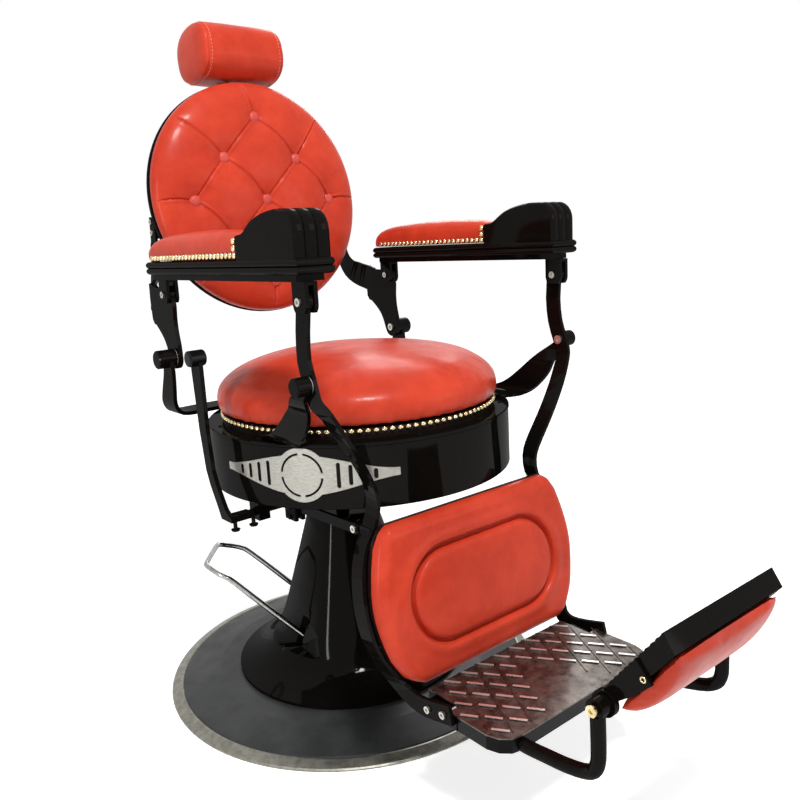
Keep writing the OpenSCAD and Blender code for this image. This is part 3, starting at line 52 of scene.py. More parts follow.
# %% [markdown]
# ## Camera and studio
# The camera stands at the chair's front right, a little above the arms, and rolls by a few
# degrees. Its direction is built from three angles, because a rotation matrix made from a
# back, right and up vector shows plainly what each angle does.

# %% Camera
CAMERA_PLACE = Vector((-0.836, -1.244, 0.831))
YAW, PITCH, ROLL = (math.radians(a) for a in (-38.62, 11.48, -3.14))
SENSOR_MM, LENS_MM = 36.0, 36.117
CHAIR_MIDDLE = Vector((0, -0.2, 0.6))

back = Vector((
    math.sin(YAW) * math.cos(PITCH), -math.cos(YAW) * math.cos(PITCH), math.sin(PITCH)))
right = (-back).cross(Vector((0, 0, 1))).normalized()
up = right.cross(-back)
rolled_right = math.cos(ROLL) * right + math.sin(ROLL) * up
rolled_up = -math.sin(ROLL) * right + math.cos(ROLL) * up
camera = bpy.data.objects.new("camera", bpy.data.cameras.new("camera"))
camera.data.sensor_width = SENSOR_MM
camera.data.lens = LENS_MM
camera.data.clip_start, camera.data.clip_end = 0.05, 60
turn = Matrix((rolled_right, rolled_up, back)).transposed().to_4x4()
camera.matrix_world = Matrix.Translation(CAMERA_PLACE) @ turn
bpy.context.scene.collection.objects.link(camera)
bpy.context.scene.camera = camera
bpy.context.scene.view_settings.view_transform = "Standard"
print("camera distance", round((CAMERA_PLACE - CHAIR_MIDDLE).length, 3))


# %% [markdown]
# A white room comes from Light Path: the world is plain white to the eye and to reflections,
# and dimmer as a source of light. The floor is pale paint that still takes a shadow.

# %% Node helpers
def link_nodes(tree, *pairs):
    """Joins output sockets to input sockets, given in pairs."""
    for out, into in pairs:
        tree.links.new(out, into)


def seen_plainly(tree):
    """1 where a ray comes from the eye, a reflection or a refraction, and else 0."""
    path = tree.nodes.new("ShaderNodeLightPath")
    total = None
    for name in ("Is Camera Ray", "Is Glossy Ray", "Is Transmission Ray"):
        if total is None:
            total = path.outputs[name]
            continue
        add = tree.nodes.new("ShaderNodeMath")
        add.operation = "MAXIMUM"
        link_nodes(tree, (total, add.inputs[0]), (path.outputs[name], add.inputs[1]))
        total = add.outputs[0]
    return total


# %% World
SKY_LIGHT = 0.34
world = bpy.data.worlds.new("studio")
world.use_nodes = True
tree = world.node_tree
background = tree.nodes["Background"]
background.inputs["Color"].default_value = (1, 1, 1, 1)
strength = tree.nodes.new("ShaderNodeMapRange")
strength.inputs["To Min"].default_value = SKY_LIGHT
strength.inputs["To Max"].default_value = 1.0
link_nodes(
    tree,
    (seen_plainly(tree), strength.inputs["Value"]),
    (strength.outputs["Result"], background.inputs["Strength"]),
)
bpy.context.scene.world = world
print("sky light", SKY_LIGHT)

# %% [markdown]
# One small lamp above the front throws hard shadows, as the sun does. Two wide lamps soften
# them, and a tall strip on the left is there for its reflection in leather and enamel.

# %% Lamps
LAMPS = {  # name: (place, aim, width, height, watts)
    "key": ((-0.75, -1.75, 3.4), (0, -0.1, 0.6), 0.5, 0.5, 92),
    "fill": ((1.6, -3.2, 1.5), (0, -0.2, 0.5), 1.8, 1.2, 12),
    "rim": ((1.9, 1.7, 2.3), (0, 0, 0.8), 1.2, 1.2, 24),
    "strip": ((-2.9, -0.9, 1.3), (0, -0.1, 0.8), 0.16, 1.7, 24),
}
for name, (place, aim, width, height, watts) in LAMPS.items():
    lamp = bpy.data.lights.new(name, "AREA")
    lamp.shape = "RECTANGLE"
    lamp.size, lamp.size_y, lamp.energy = width, height, watts
    holder = bpy.data.objects.new(name, lamp)
    holder.location = place
    holder.rotation_mode = "QUATERNION"
    holder.rotation_quaternion = (Vector(aim) - Vector(place)).to_track_quat("-Z", "Y")
    bpy.context.scene.collection.objects.link(holder)
print("lamps", ", ".join(LAMPS))


# %% [markdown]
# ## Mesh helpers
# Every piece is a bmesh turned into an object that sits at the origin, with its place in its
# vertices. These helpers keep the cells below short.

# %% Piece helpers
MERGE_DISTANCE = 0.00002


def new_piece(name, shape, smooth=True):
    """Turns a bmesh into an object at the origin."""
    mesh = bpy.data.meshes.new(name)
    shape.to_mesh(mesh)
    shape.free()
    if smooth:
        mesh.shade_smooth()
    piece = bpy.data.objects.new(name, mesh)
    bpy.context.scene.collection.objects.link(piece)
    return piece


def settle(piece):
    """Writes what the modifiers make into the piece's own mesh."""
    graph = bpy.context.evaluated_depsgraph_get()
    made = bpy.data.meshes.new_from_object(piece.evaluated_get(graph))
    piece.modifiers.clear()
    old, piece.data = piece.data, made
    bpy.data.meshes.remove(old)
    made.name = piece.name


def copy_of(node, name):
    """A merged copy of a CAD solid, as a start for a softer or rounder piece."""
    shape = bmesh.new()
    shape.from_mesh(nodes[node].data)
    bmesh.ops.remove_doubles(shape, verts=shape.verts, dist=MERGE_DISTANCE)
    return new_piece(name, shape, smooth=False)


def finish_piece(piece, material, body, slot, *replaced):
    """Gives a piece its material, its body and the CAD nodes it stands for."""
    piece.data.materials.clear()
    piece.data.materials.append(material)
    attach(piece, body)
    if replaced:
        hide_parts(*replaced)
    print(piece.name, len(piece.data.polygons), "faces on", body)


def turn_faces(shape, sign):
    """Makes an open net look towards +Y or -Y, as the sign says."""
    bmesh.ops.recalc_face_normals(shape, faces=shape.faces)
    if sign * sum(f.normal.y for f in shape.faces) < 0:
        bmesh.ops.reverse_faces(shape, faces=shape.faces)


def extend_edge(shape, edge, place):
    """Extrudes an open edge, moves its new points to place(point) and returns it."""
    made = bmesh.ops.extrude_edge_only(shape, edges=edge)["geom"]
    edge = [g for g in made if isinstance(g, bmesh.types.BMEdge)]
    for vertex in {v for e in edge for v in e.verts}:
        vertex.co = place(vertex.co)
    return edge


def add_bead(shape, place, facing, radius, stretch, segments):
    """Adds a small sphere, stretched along the direction that it looks in."""
    made = bmesh.ops.create_uvsphere(
        shape, u_segments=segments[0], v_segments=segments[1], radius=radius)["verts"]
    bmesh.ops.scale(shape, vec=(1, 1, stretch), verts=made)
    turn = Vector(facing).to_track_quat("Z", "Y").to_matrix().to_4x4()
    bmesh.ops.transform(shape, matrix=Matrix.Translation(place) @ turn, verts=made)


# %% [markdown]
# ## Finishes
# A finish is a small recipe of nodes: a base colour broken up by noise, a roughness that is
# never even, and a bump at the real scale. All of them read Object coordinates in metres, so
# a scale of 900 makes cells about a millimetre across.

# %% Material helpers
class Finish:
    """A material with a Principled shader and short ways to add nodes to it."""

    def __init__(self, name, color, roughness, metallic=0.0, **sockets):
        self.material = bpy.data.materials.new(name)
        self.material.use_nodes = True
        self.tree = self.material.node_tree
        self.shader = self.tree.nodes["Principled BSDF"]
        self.shader.inputs["Base Color"].default_value = (*color, 1)
        self.shader.inputs["Roughness"].default_value = roughness
        self.shader.inputs["Metallic"].default_value = metallic
        for socket, value in sockets.items():
            self.shader.inputs[socket.replace("_", " ")].default_value = value
        self.place = self.tree.nodes.new("ShaderNodeTexCoord").outputs["Object"]
        self.material.diffuse_color = (*color, 1)

    def noise(self, scale, detail=3.0, rough=0.5, stretch=None, distortion=0.0):
        """A noise value, stretched along an axis if asked."""
        node = self.tree.nodes.new("ShaderNodeTexNoise")
        node.inputs["Scale"].default_value = scale
        node.inputs["Detail"].default_value = detail
        node.inputs["Roughness"].default_value = rough
        node.inputs["Distortion"].default_value = distortion
        place = self.place
        if stretch:
            mapping = self.tree.nodes.new("ShaderNodeMapping")
            mapping.inputs["Scale"].default_value = stretch
            link_nodes(self.tree, (place, mapping.inputs["Vector"]))
            place = mapping.outputs["Vector"]
        link_nodes(self.tree, (place, node.inputs["Vector"]))
        return node.outputs["Fac"]

    def cells(self, scale):
        """The distance in a Voronoi pattern, as the grain of leather has."""
        node = self.tree.nodes.new("ShaderNodeTexVoronoi")
        node.inputs["Scale"].default_value = scale
        link_nodes(self.tree, (self.place, node.inputs["Vector"]))
        return node.outputs["Distance"]

    def span(self, value, low, high, to_low=0.0, to_high=1.0):
        """Stretches the range low to high of a value to another range."""
        node = self.tree.nodes.new("ShaderNodeMapRange")
        for name, number in (("From Min", low), ("From Max", high),
                             ("To Min", to_low), ("To Max", to_high)):
            node.inputs[name].default_value = number
        link_nodes(self.tree, (value, node.inputs["Value"]))
        return node.outputs["Result"]

    def blend(self, factor, first, second):
        """Mixes two colours, each a colour or a socket."""
        node = self.tree.nodes.new("ShaderNodeMix")
        node.data_type = "RGBA"
        link_nodes(self.tree, (factor, node.inputs["Factor"]))
        for socket, value in ((node.inputs[6], first), (node.inputs[7], second)):
            if isinstance(value, bpy.types.NodeSocket):
                link_nodes(self.tree, (value, socket))
            else:
                socket.default_value = (*value, 1)
        return node.outputs[2]

    def maths(self, kind, first, second):
        """One maths step between two sockets or numbers."""
        node = self.tree.nodes.new("ShaderNodeMath")
        node.operation = kind
        for socket, value in zip(node.inputs, (first, second)):
            if isinstance(value, bpy.types.NodeSocket):
                link_nodes(self.tree, (value, socket))
            else:
                socket.default_value = value
        return node.outputs[0]

    def color(self, socket):
        """Takes the base colour from a socket."""
        link_nodes(self.tree, (socket, self.shader.inputs["Base Color"]))

    def rough(self, socket):
        """Takes the roughness from a socket."""
        link_nodes(self.tree, (socket, self.shader.inputs["Roughness"]))

    def bump(self, height, metres, strength):
        """Adds a bump of a given depth under any bump that is there already."""
        node = self.tree.nodes.new("ShaderNodeBump")
        node.inputs["Distance"].default_value = metres
        node.inputs["Strength"].default_value = strength
        normal = self.shader.inputs["Normal"]
        if normal.is_linked:
            link_nodes(self.tree, (normal.links[0].from_socket, node.inputs["Normal"]))
        link_nodes(
            self.tree, (height, node.inputs["Height"]), (node.outputs["Normal"], normal))


# %% [markdown]
# Red hide: a pull-up leather whose waxed face turns lighter where it is stretched. Broad
# noise mixes two reds, a fine Voronoi gives the pores, and the wax leaves cloudy gloss.

# %% Leather
CLOUD_SHARE, PORE_SCALE = 0.7, 620


def hide(name, deep, light, gloss):
    """Waxed leather between two reds, with pores, clouds and streaks."""
    skin = Finish(name, light, gloss, Specular_IOR_Level=0.08, Coat_Weight=0.11,
                  Coat_Roughness=0.17)
    clouds = skin.span(skin.noise(7, detail=4, rough=0.6, distortion=0.6), 0.36, 0.64)
    streaks = skin.span(skin.noise(46, detail=5, rough=0.65), 0.3, 0.7)
    tone = skin.maths(
        "ADD", skin.maths("MULTIPLY", clouds, CLOUD_SHARE),
        skin.maths("MULTIPLY", streaks, 1 - CLOUD_SHARE))
    skin.color(skin.blend(tone, deep, light))
    wax = skin.noise(22, detail=4, rough=0.6)
    skin.rough(skin.span(wax, 0.3, 0.7, gloss - 0.07, gloss + 0.12))
    skin.bump(skin.noise(9, distortion=0.3), metres=0.0016, strength=0.5)
    skin.bump(skin.cells(PORE_SCALE), metres=0.00006, strength=0.3)
    return skin.material


LEATHER = hide("red hide", (0.46, 0.034, 0.014), (0.65, 0.060, 0.027), 0.37)
BUTTON_HIDE = hide("button hide", (0.52, 0.060, 0.048), (0.66, 0.110, 0.085), 0.3)
THREAD = Finish("waxed thread", (0.62, 0.20, 0.13), 0.6).material
print("finish", LEATHER.name)


# %% [markdown]
# Black enamel over steel: near black, with a clear coat that mirrors the room. Wiping marks
# and specks of dust dull it in places, and the dust is also a little paler.

# %% Enamel
DUST_PALER, DUST_SHARE, DULLED = 0.012, 0.5, 0.14


def enamel(name, color, base_rough, coat):
    """Dark paint under a thin clear coat, with smears and specks of dust."""
    paint = Finish(name, color, base_rough, Specular_IOR_Level=0.0, Coat_Weight=coat,
                   Coat_Roughness=0.06)
    smears = paint.span(paint.noise(14, detail=5, rough=0.6, distortion=0.8), 0.4, 0.75)
    specks = paint.span(paint.noise(420, detail=2), 0.62, 0.75)
    paint.rough(paint.span(
        paint.maths("MAXIMUM", smears, specks), 0, 1, base_rough, base_rough + DULLED))
    paint.color(paint.blend(
        paint.maths("MULTIPLY", specks, DUST_SHARE), color,
        tuple(c + DUST_PALER for c in color)))
    paint.bump(paint.noise(60, detail=2), metres=0.00025, strength=0.25)
    return paint.material


GLOSS_BLACK = enamel("black enamel", (0.0042, 0.0034, 0.0028), 0.14, 0.13)
SATIN_BLACK = enamel("satin black paint", (0.0065, 0.0062, 0.006), 0.3, 0.05)
SHELL_BLACK = enamel("moulded black shell", (0.0045, 0.0045, 0.0045), 0.22, 0.1)
KNOB_BLACK = enamel("black knob", (0.005, 0.005, 0.005), 0.1, 0.3)
print("finish", GLOSS_BLACK.name)


# %% [markdown]
# The floor disc is cast iron under a dark satin paint, cloudy with wear and finely pitted.

# %% Iron
iron = Finish("painted cast iron", (0.035, 0.036, 0.036), 0.42, Coat_Weight=0.1,
              Coat_Roughness=0.3, Specular_IOR_Level=0.15)
wear = iron.span(iron.noise(16, detail=5, rough=0.62), 0.35, 0.68)
iron.color(iron.blend(wear, (0.026, 0.027, 0.027), (0.046, 0.047, 0.047)))
iron.rough(iron.span(iron.noise(30, detail=4), 0.3, 0.7, 0.34, 0.5))
iron.bump(iron.noise(700, detail=2), metres=0.00012, strength=0.5)
IRON = iron.material
print("finish", IRON.name)


# %% [markdown]
# Bare metals differ in tone, polish and the way they were worked. One recipe takes these as
# its arguments, so that steel, chrome, brass and the plated rings each take one line.

# %% Steel, chrome and brass
def metal(name, dark, light, roughness, streak=None, scale=120):
    """Bare metal: streaks in two tones, with uneven polish."""
    bare = Finish(name, light, roughness, metallic=1.0)
    lines = bare.span(bare.noise(scale, detail=4, rough=0.6, stretch=streak), 0.3, 0.7)
    bare.color(bare.blend(lines, dark, light))
    bare.rough(bare.span(bare.noise(35), 0.3, 0.7, roughness - 0.04, roughness + 0.08))
    bare.bump(lines, metres=0.00003, strength=0.4)
    return bare.material


STEEL = metal("machined steel", (0.42, 0.40, 0.36), (0.66, 0.63, 0.57), 0.3)
CHROME = metal("polished chrome", (0.26, 0.26, 0.25), (0.44, 0.44, 0.43), 0.12)
BRASS = metal("polished brass", (0.50, 0.37, 0.17), (0.88, 0.73, 0.45), 0.2)
TRIM = metal("dull turned ring", (0.17, 0.165, 0.14), (0.30, 0.29, 0.25), 0.38, scale=90)
BADGE = metal("brushed plate", (0.24, 0.23, 0.20), (0.44, 0.43, 0.39), 0.32, (1, 1, 14))
print("finish", BRASS.name)

# %% [markdown]
# The footplate is one casting in three finishes: a painted skirt, a brown plated top and bars
# that shoes have rubbed bright, their tops painted near white as well for the highlight along
# them. All three follow the height of a point, so one material with two steps over Z does it,
# and the mesh stays whole.

# %% Tread plate
FOOT_TOP_Z, TREAD_HEIGHT = 0.176, 0.002
PAINT_END = (FOOT_TOP_Z - 0.0022, FOOT_TOP_Z - 0.0012)
BRIGHT_START = (FOOT_TOP_Z + 0.72 * TREAD_HEIGHT, FOOT_TOP_Z + 0.92 * TREAD_HEIGHT)
# The last colour is for the tops of the bars: rubbed metal, painted near white for their
# highlight too.
PAINTED, GRIMY, PLATED, RUBBED_AND_HIGHLIT = (
    (0.006, 0.006, 0.006), (0.050, 0.042, 0.037), (0.20, 0.175, 0.155), (0.86, 0.84, 0.80))

tread = Finish("plated tread", PLATED, 0.26, metallic=0.85, Specular_IOR_Level=0.2)
level = tread.tree.nodes.new("ShaderNodeSeparateXYZ")
link_nodes(tread.tree, (tread.place, level.inputs["Vector"]))
grime = tread.span(tread.noise(70, detail=4, rough=0.6), 0.3, 0.7)
plate = tread.blend(grime, GRIMY, PLATED)
plate = tread.blend(tread.span(level.outputs["Z"], *PAINT_END), PAINTED, plate)
# Above BRIGHT_START the bars take the near-white colour: wear and a painted highlight.
tread.color(tread.blend(tread.span(level.outputs["Z"], *BRIGHT_START), plate, RUBBED_AND_HIGHLIT))
tread.rough(tread.span(tread.noise(35), 0.3, 0.7, 0.2, 0.36))
tread.bump(grime, metres=0.00006, strength=0.5)
TREAD = tread.material
print("finish", TREAD.name)

# %% [markdown]
# What is left is plain: a stained board under the cushions, a nylon bearing and rubber feet.

# %% Wood, nylon and rubber
wood = Finish("stained board", (0.012, 0.006, 0.005), 0.3, Coat_Weight=0.1,
              Specular_IOR_Level=0.05)
grain = wood.span(wood.noise(26, detail=5, rough=0.6, stretch=(1, 9, 9)), 0.3, 0.7)
wood.color(wood.blend(grain, (0.006, 0.004, 0.004), (0.020, 0.009, 0.007)))
wood.bump(grain, metres=0.0001, strength=0.5)
BOARD = wood.material
nylon = Finish("worn nylon", (0.62, 0.60, 0.54), 0.5)
nylon.bump(nylon.noise(300, detail=2), metres=0.00006, strength=0.4)
NYLON = nylon.material
rubber = Finish("black rubber", (0.02, 0.02, 0.02), 0.7)
rubber.bump(rubber.noise(500), metres=0.0001, strength=0.5)
RUBBER = rubber.material
print("finish", BOARD.name)

# %% [markdown]
# ## Finishes on the frame
# CAD pieces whose shape is right stay as they are. Each gets the finish of its material slot,
# apart from the screws of the seat's ring, which take satin black instead of their steel.

# %% Paint the CAD nodes
SLOT_FINISH = {
    "base_satin": IRON, "trim_metal": TRIM, "gloss_black": GLOSS_BLACK,
    "satin_black": SATIN_BLACK, "steel": STEEL, "chrome": CHROME, "brass": BRASS,
    "badge_metal": BADGE, "red_leather": LEATHER, "board_wood": BOARD,
    "shell_black": SHELL_BLACK, "knob_black": KNOB_BLACK, "nylon": NYLON,
    "tread_metal": TREAD, "rubber": RUBBER,
}
FINISH_INSTEAD = {"seat_screws": SATIN_BLACK}
for part in frame["record"]["subparts"]:
    mesh = nodes[part["node"]].data
    mesh.materials.clear()
    mesh.materials.append(
        FINISH_INSTEAD.get(part["node"], SLOT_FINISH[part["material_slot"]]))
print(len(nodes), "CAD nodes painted")

# %% [markdown]
# The pump cover, the piston, the pedal and the headrest's post are polished, so the flats of
# their meshes would show in the highlights. A merged copy of each is shaded smoothly, and its
# real edges are marked as sharp.

# %% Smooth polished pieces
SHARP_ANGLE = math.radians(24)
for node, body, slot in (("pump_cover", "base", "gloss_black"),
                         ("headrest_post", "headrest", "chrome"),
                         ("piston", "lift", "chrome"),
                         ("pedal_loop", "pedal", "chrome")):
    smoothed = copy_of(node, f"{node}_smooth")
    smoothed.data.shade_smooth()
    smoothed.data.set_sharp_from_angle(angle=SHARP_ANGLE)
    finish_piece(smoothed, SLOT_FINISH[slot], body, slot, node)


# %% [markdown]
# ## Stuffed leather
# A pad is foam under a tight skin, so it swells between the places that hold it. The CAD
# solid gives the outline. A voxel remesh makes an even net over it, Cloth blows the net up
# with a little air pressure, and no point may move further than a cap.

# %% Cloth helper
CLOTH_FRAMES, AIR_PRESSURE = 20, 4.0
STRETCH_STIFFNESS, BEND_STIFFNESS = 12, 1.5


def swell(piece, voxel, cap, held, shrink, rounds=4):
    """Inflates a piece with Cloth. Points for which held(point) is true stay in place."""
    even = piece.modifiers.new("even", "REMESH")
    even.mode, even.voxel_size = "VOXEL", voxel
    settle(piece)
    shape = bmesh.new()
    shape.from_mesh(piece.data)
    for _ in range(rounds):
        bmesh.ops.smooth_vert(
            shape, verts=shape.verts, factor=0.5,
            use_axis_x=True, use_axis_y=True, use_axis_z=True)
    shape.normal_update()
    for point in shape.verts:
        point.co -= point.normal * shrink
    shape.to_mesh(piece.data)
    shape.free()
    start = [v.co.copy() for v in piece.data.vertices]
    group = piece.vertex_groups.new(name="held")
    group.add([i for i, co in enumerate(start) if held(co)], 1.0, "REPLACE")
    cloth = piece.modifiers.new("cloth", "CLOTH")
    cloth.settings.vertex_group_mass = "held"
    cloth.settings.use_pressure = True
    cloth.settings.uniform_pressure_force = AIR_PRESSURE
    cloth.settings.effector_weights.gravity = 0
    cloth.settings.tension_stiffness = STRETCH_STIFFNESS
    cloth.settings.compression_stiffness = STRETCH_STIFFNESS
    cloth.settings.bending_stiffness = BEND_STIFFNESS
    cloth.point_cache.frame_end = CLOTH_FRAMES
    for number in range(1, CLOTH_FRAMES + 1):
        bpy.context.scene.frame_set(number)
    graph = bpy.context.evaluated_depsgraph_get()
    blown = [v.co.copy() for v in piece.evaluated_get(graph).data.vertices]
    piece.modifiers.clear()
    bpy.context.scene.frame_set(1)
    furthest = 0.0
    for vertex, first, last in zip(piece.data.vertices, start, blown):
        move = last - first
        furthest = max(furthest, move.length)
        if move.length > cap:
            move *= cap / move.length
        vertex.co = first + move
    piece.vertex_groups.clear()
    print(piece.name, "cloth moved up to", round(furthest * 1000, 1), "mm")
    piece.data.shade_smooth()
    finer = piece.modifiers.new("finer", "SUBSURF")
    finer.levels = finer.render_levels = 1
    settle(piece)


def ripple(piece, amount):
    """Moves each point along its normal by amount(point), in metres."""
    mesh = piece.data
    normals = [n.vector.copy() for n in mesh.vertex_normals]
    for vertex, normal in zip(mesh.vertices, normals):
        vertex.co += normal * amount(vertex.co)
    mesh.update()


# %% [markdown]
# The round seat is a deep foam drum under one hide, tacked to its board all round. The hide
# gathers in small folds just above the nails, and its top is smooth but for broad hollows.
# Waves of unlike counts round the rim make the folds, so that no two look the same.

# %% Seat cushion
SEAT_CENTRE = Vector((0, -0.0775, 0.548))
SEAT_EDGE_Z, SEAT_HEM = 0.556, 0.002
FOLD_REACH, FOLD_DEPTH, HOLLOW_DEPTH = 0.022, 0.0006, 0.0007


def seat_folds(point):
    """Small radial folds above the nail row, which fade into broad hollows upwards."""
    height = point.z - SEAT_CENTRE.z
    if height <= SEAT_HEM:
        return 0.0
    angle = math.atan2(point.y - SEAT_CENTRE.y, point.x)
    fade = math.exp(-height / FOLD_REACH)
    wave = (math.sin(angle * 61 + 2.2 * math.sin(angle * 7))
            + 0.6 * math.sin(angle * 37 + 1.3) + 0.4 * math.sin(angle * 113))
    broad = math.sin(point.x * 21 + 1.0) * math.sin(point.y * 17 + 0.4)
    return FOLD_DEPTH * fade * wave + HOLLOW_DEPTH * broad * (1 - fade)


seat = copy_of("seat_cushion", "seat_hide")
swell(seat, 0.006, 0.0012, lambda p: p.z < SEAT_EDGE_Z, shrink=0.0034)
ripple(seat, seat_folds)
finish_piece(seat, LEATHER, "seat", "red_leather", "seat_cushion")


# %% [markdown]
# ## Tufted back
# The round back is one hide pulled in by nine buttons. Between two buttons the leather is
# folded, and the fold leaves a fine ridge beside a dark line. A net of small squares is bent
# into a disc, and each point then gets its height: a crown, pillows between the folds, a dip
# at each button. Cloth would need the folds as slack, so the heights are set here directly.

# %% Back frame
BACK_R, FOLD_END_R = 0.2242, 0.235
BACK_TILT = math.radians(6.4)
BACK_PLACE = Matrix.Translation((0, 0.2296, 0.921)) @ Matrix.Rotation(-BACK_TILT, 4, "X")
BUTTON_PITCH, BUTTON_SIDE, BUTTON_DROP = 0.080, 0.150, -0.008
FAR = BUTTON_SIDE / BUTTON_PITCH
BUTTON_GRID = ((0, 2), (-1, 1), (1, 1), (-FAR, 0), (0, 0), (FAR, 0), (-1, -1), (1, -1), (0, -2))
BUTTONS = [Vector((x * BUTTON_PITCH, z * BUTTON_PITCH + BUTTON_DROP)) for x, z in BUTTON_GRID]
INNER_FOLDS = ((0, 1), (0, 2), (1, 3), (1, 4), (2, 4), (2, 5), (3, 6), (4, 6), (4, 7),
               (5, 7), (6, 8), (7, 8))
EDGE_FOLDS = ((0, 96), (1, 138), (2, 46), (3, 180), (5, 0), (6, 226), (7, 314), (8, 270))
rim_point = {a: Vector((math.cos(math.radians(a)), math.sin(math.radians(a)))) * FOLD_END_R
             for _, a in EDGE_FOLDS}
for a in (0, 180):
    rim_point[a].y = BUTTON_DROP
FOLDS = [(BUTTONS[a], BUTTONS[b]) for a, b in INNER_FOLDS]
FOLDS += [(BUTTONS[b], rim_point[a]) for b, a in EDGE_FOLDS]
print(len(BUTTONS), "buttons,", len(FOLDS), "folds")


# %% [markdown]
# Each point's height is a crown less three dents: a wide pull round each button, a shallow
# valley along each fold and a narrow line in it. A lap on one side of the line is the ridge.

# %% Heights of the tufted face
FOLD_BOW = 0.0045
CROWN, EDGE_THICK = 0.054, 0.011
PULL_DEPTH, PULL_REACH = 0.0150, 0.024
VALLEY_DEPTH, VALLEY_REACH = 0.0022, 0.010
LINE_DEPTH, LINE_WIDTH = 0.0030, 0.0013
LAP_HEIGHT, LAP_SHIFT, LAP_WIDTH, LAP_OVERRUN = 0.0013, 0.0036, 0.0026, 0.002
EDGE_FADE = 16  # dents fade out over the outermost 1/16 of the radius


def fold_distance(point, first, last):
    """Signed distance across a bowed fold, and how far past its ends the point lies."""
    run = last - first
    share = (point - first).dot(run) / run.length_squared
    inside = max(0.0, min(1.0, share))
    bow = FOLD_BOW * 4 * inside * (1 - inside) * (1 if run.x > 0 else -1)
    across = (run.x * (point.y - first.y) - run.y * (point.x - first.x)) / run.length - bow
    return across, abs(share - inside) * run.length


def tufted_height(point):
    """Height of the leather above the disc's back plane at a point of the disc."""
    r = min(point.length / BACK_R, 1.0)
    crown = EDGE_THICK + (CROWN - EDGE_THICK) * (1 - r ** 3.2) ** 0.46
    across, past = min(
        (fold_distance(point, a, b) for a, b in FOLDS),
        key=lambda found: math.hypot(*found))
    near = math.hypot(across, past)
    button = min((point - b).length for b in BUTTONS)
    pull = PULL_DEPTH * math.exp(-((button / PULL_REACH) ** 1.3))
    valley = VALLEY_DEPTH * math.exp(-near / VALLEY_REACH)
    line = LINE_DEPTH * math.exp(-((near / LINE_WIDTH) ** 2))
    lap = 0.0
    if past < LAP_OVERRUN:
        lap = LAP_HEIGHT * math.exp(-(((across - LAP_SHIFT) / LAP_WIDTH) ** 2))
    return crown - (pull + valley + line - lap) * min(1.0, (1 - r) * EDGE_FADE)


# %% [markdown]
# The rows of the net run round the disc and lie closer towards its edge, where the crown
# falls steeply. Its edge is then turned back over the shell's rim and closed behind.

# %% Tufted back
BACK_NET, EDGE_CROWDING = 308, 1.3
BACK_RINGS = ((BACK_R, -0.0065), (0.2220, -0.0018), (0.213, -0.0004))  # radius, depth
shape = bmesh.new()
bmesh.ops.create_grid(shape, x_segments=BACK_NET, y_segments=BACK_NET, size=1)
for vertex in shape.verts:
    x, z = vertex.co.x, vertex.co.y
    ring = max(abs(x), abs(z))
    if abs(x) > abs(z):
        angle = math.pi / 4 * z / x + (math.pi if x < 0 else 0)
    else:
        angle = math.pi / 2 - (math.pi / 4 * x / z if ring else 0) + (math.pi if z < 0 else 0)
    reach = BACK_R * (1 - (1 - ring) ** EDGE_CROWDING)
    flat = Vector((math.cos(angle), math.sin(angle))) * reach
    vertex.co = (flat.x, -tufted_height(flat), flat.y)


def on_ring(point, radius, depth):
    """The place on a circle about the disc's axis that lies beside a point."""
    flat = Vector((point.x, point.z)).normalized() * radius
    return flat.x, depth, flat.y


turn_faces(shape, -1)
edge = [e for e in shape.edges if e.is_boundary]
for radius, depth in BACK_RINGS:
    edge = extend_edge(shape, edge, lambda point: on_ring(point, radius, depth))
bmesh.ops.contextual_create(shape, geom=edge)
shape.transform(BACK_PLACE)
tufted = new_piece("tufted_back", shape)
finish_piece(tufted, LEATHER, "backrest", "red_leather", "back_cushion")

# %% [markdown]
# The buttons are covered in the same hide, given a paler, pinker copy of its colour. Each is a
# sphere pressed into a low dome in front and flatter behind, and sits at the bottom of its own
# dip.

# %% Covered buttons
BUTTON_R, BUTTON_PROUD, DOME_FRONT, DOME_BEHIND = 0.0126, 0.0036, 0.62, 0.3
shape = bmesh.new()
for spot in BUTTONS:
    middle = tufted_height(spot) + BUTTON_PROUD
    made = bmesh.ops.create_uvsphere(shape, u_segments=28, v_segments=14, radius=BUTTON_R)
    for vertex in made["verts"]:
        x, z, out = vertex.co
        out *= DOME_FRONT if out > 0 else DOME_BEHIND
        vertex.co = (x + spot.x, -(middle + out), z + spot.y)
bmesh.ops.recalc_face_normals(shape, faces=shape.faces)
shape.transform(BACK_PLACE)
buttons = new_piece("covered_buttons", shape)
finish_piece(buttons, BUTTON_HIDE, "backrest", "red_leather", "back_buttons")


# %% [markdown]
# The headrest is a bolster: a tube of leather closed by a round cap at each end. The caps
# bulge, and a narrow dip draws the seam between cap and tube.

# %% Headrest bolster
BOLSTER_LOW_Z = 1.151
SEAM_FROM_END, SEAM_DEPTH, SEAM_WIDTH = 0.014, 0.0022, 0.0022
BOLSTER_SEAM = max(v.co.x for v in nodes["headrest_cushion"].data.vertices) - SEAM_FROM_END


def seam_dip(point):
    """A dip round the bolster at each seam."""
    return -SEAM_DEPTH * math.exp(-(((abs(point.x) - BOLSTER_SEAM) / SEAM_WIDTH) ** 2))


bolster = copy_of("headrest_cushion", "headrest_bolster")
swell(bolster, 0.004, 0.005, lambda p: p.z < BOLSTER_LOW_Z, shrink=0.0018)
ripple(bolster, seam_dip)
finish_piece(bolster, LEATHER, "headrest", "red_leather", "headrest_cushion")

# %% [markdown]
# One row of stitches runs round the tube beside each seam. A ray from the bolster's middle
# line finds the leather, so each stitch lies on it wherever the foam has swollen.

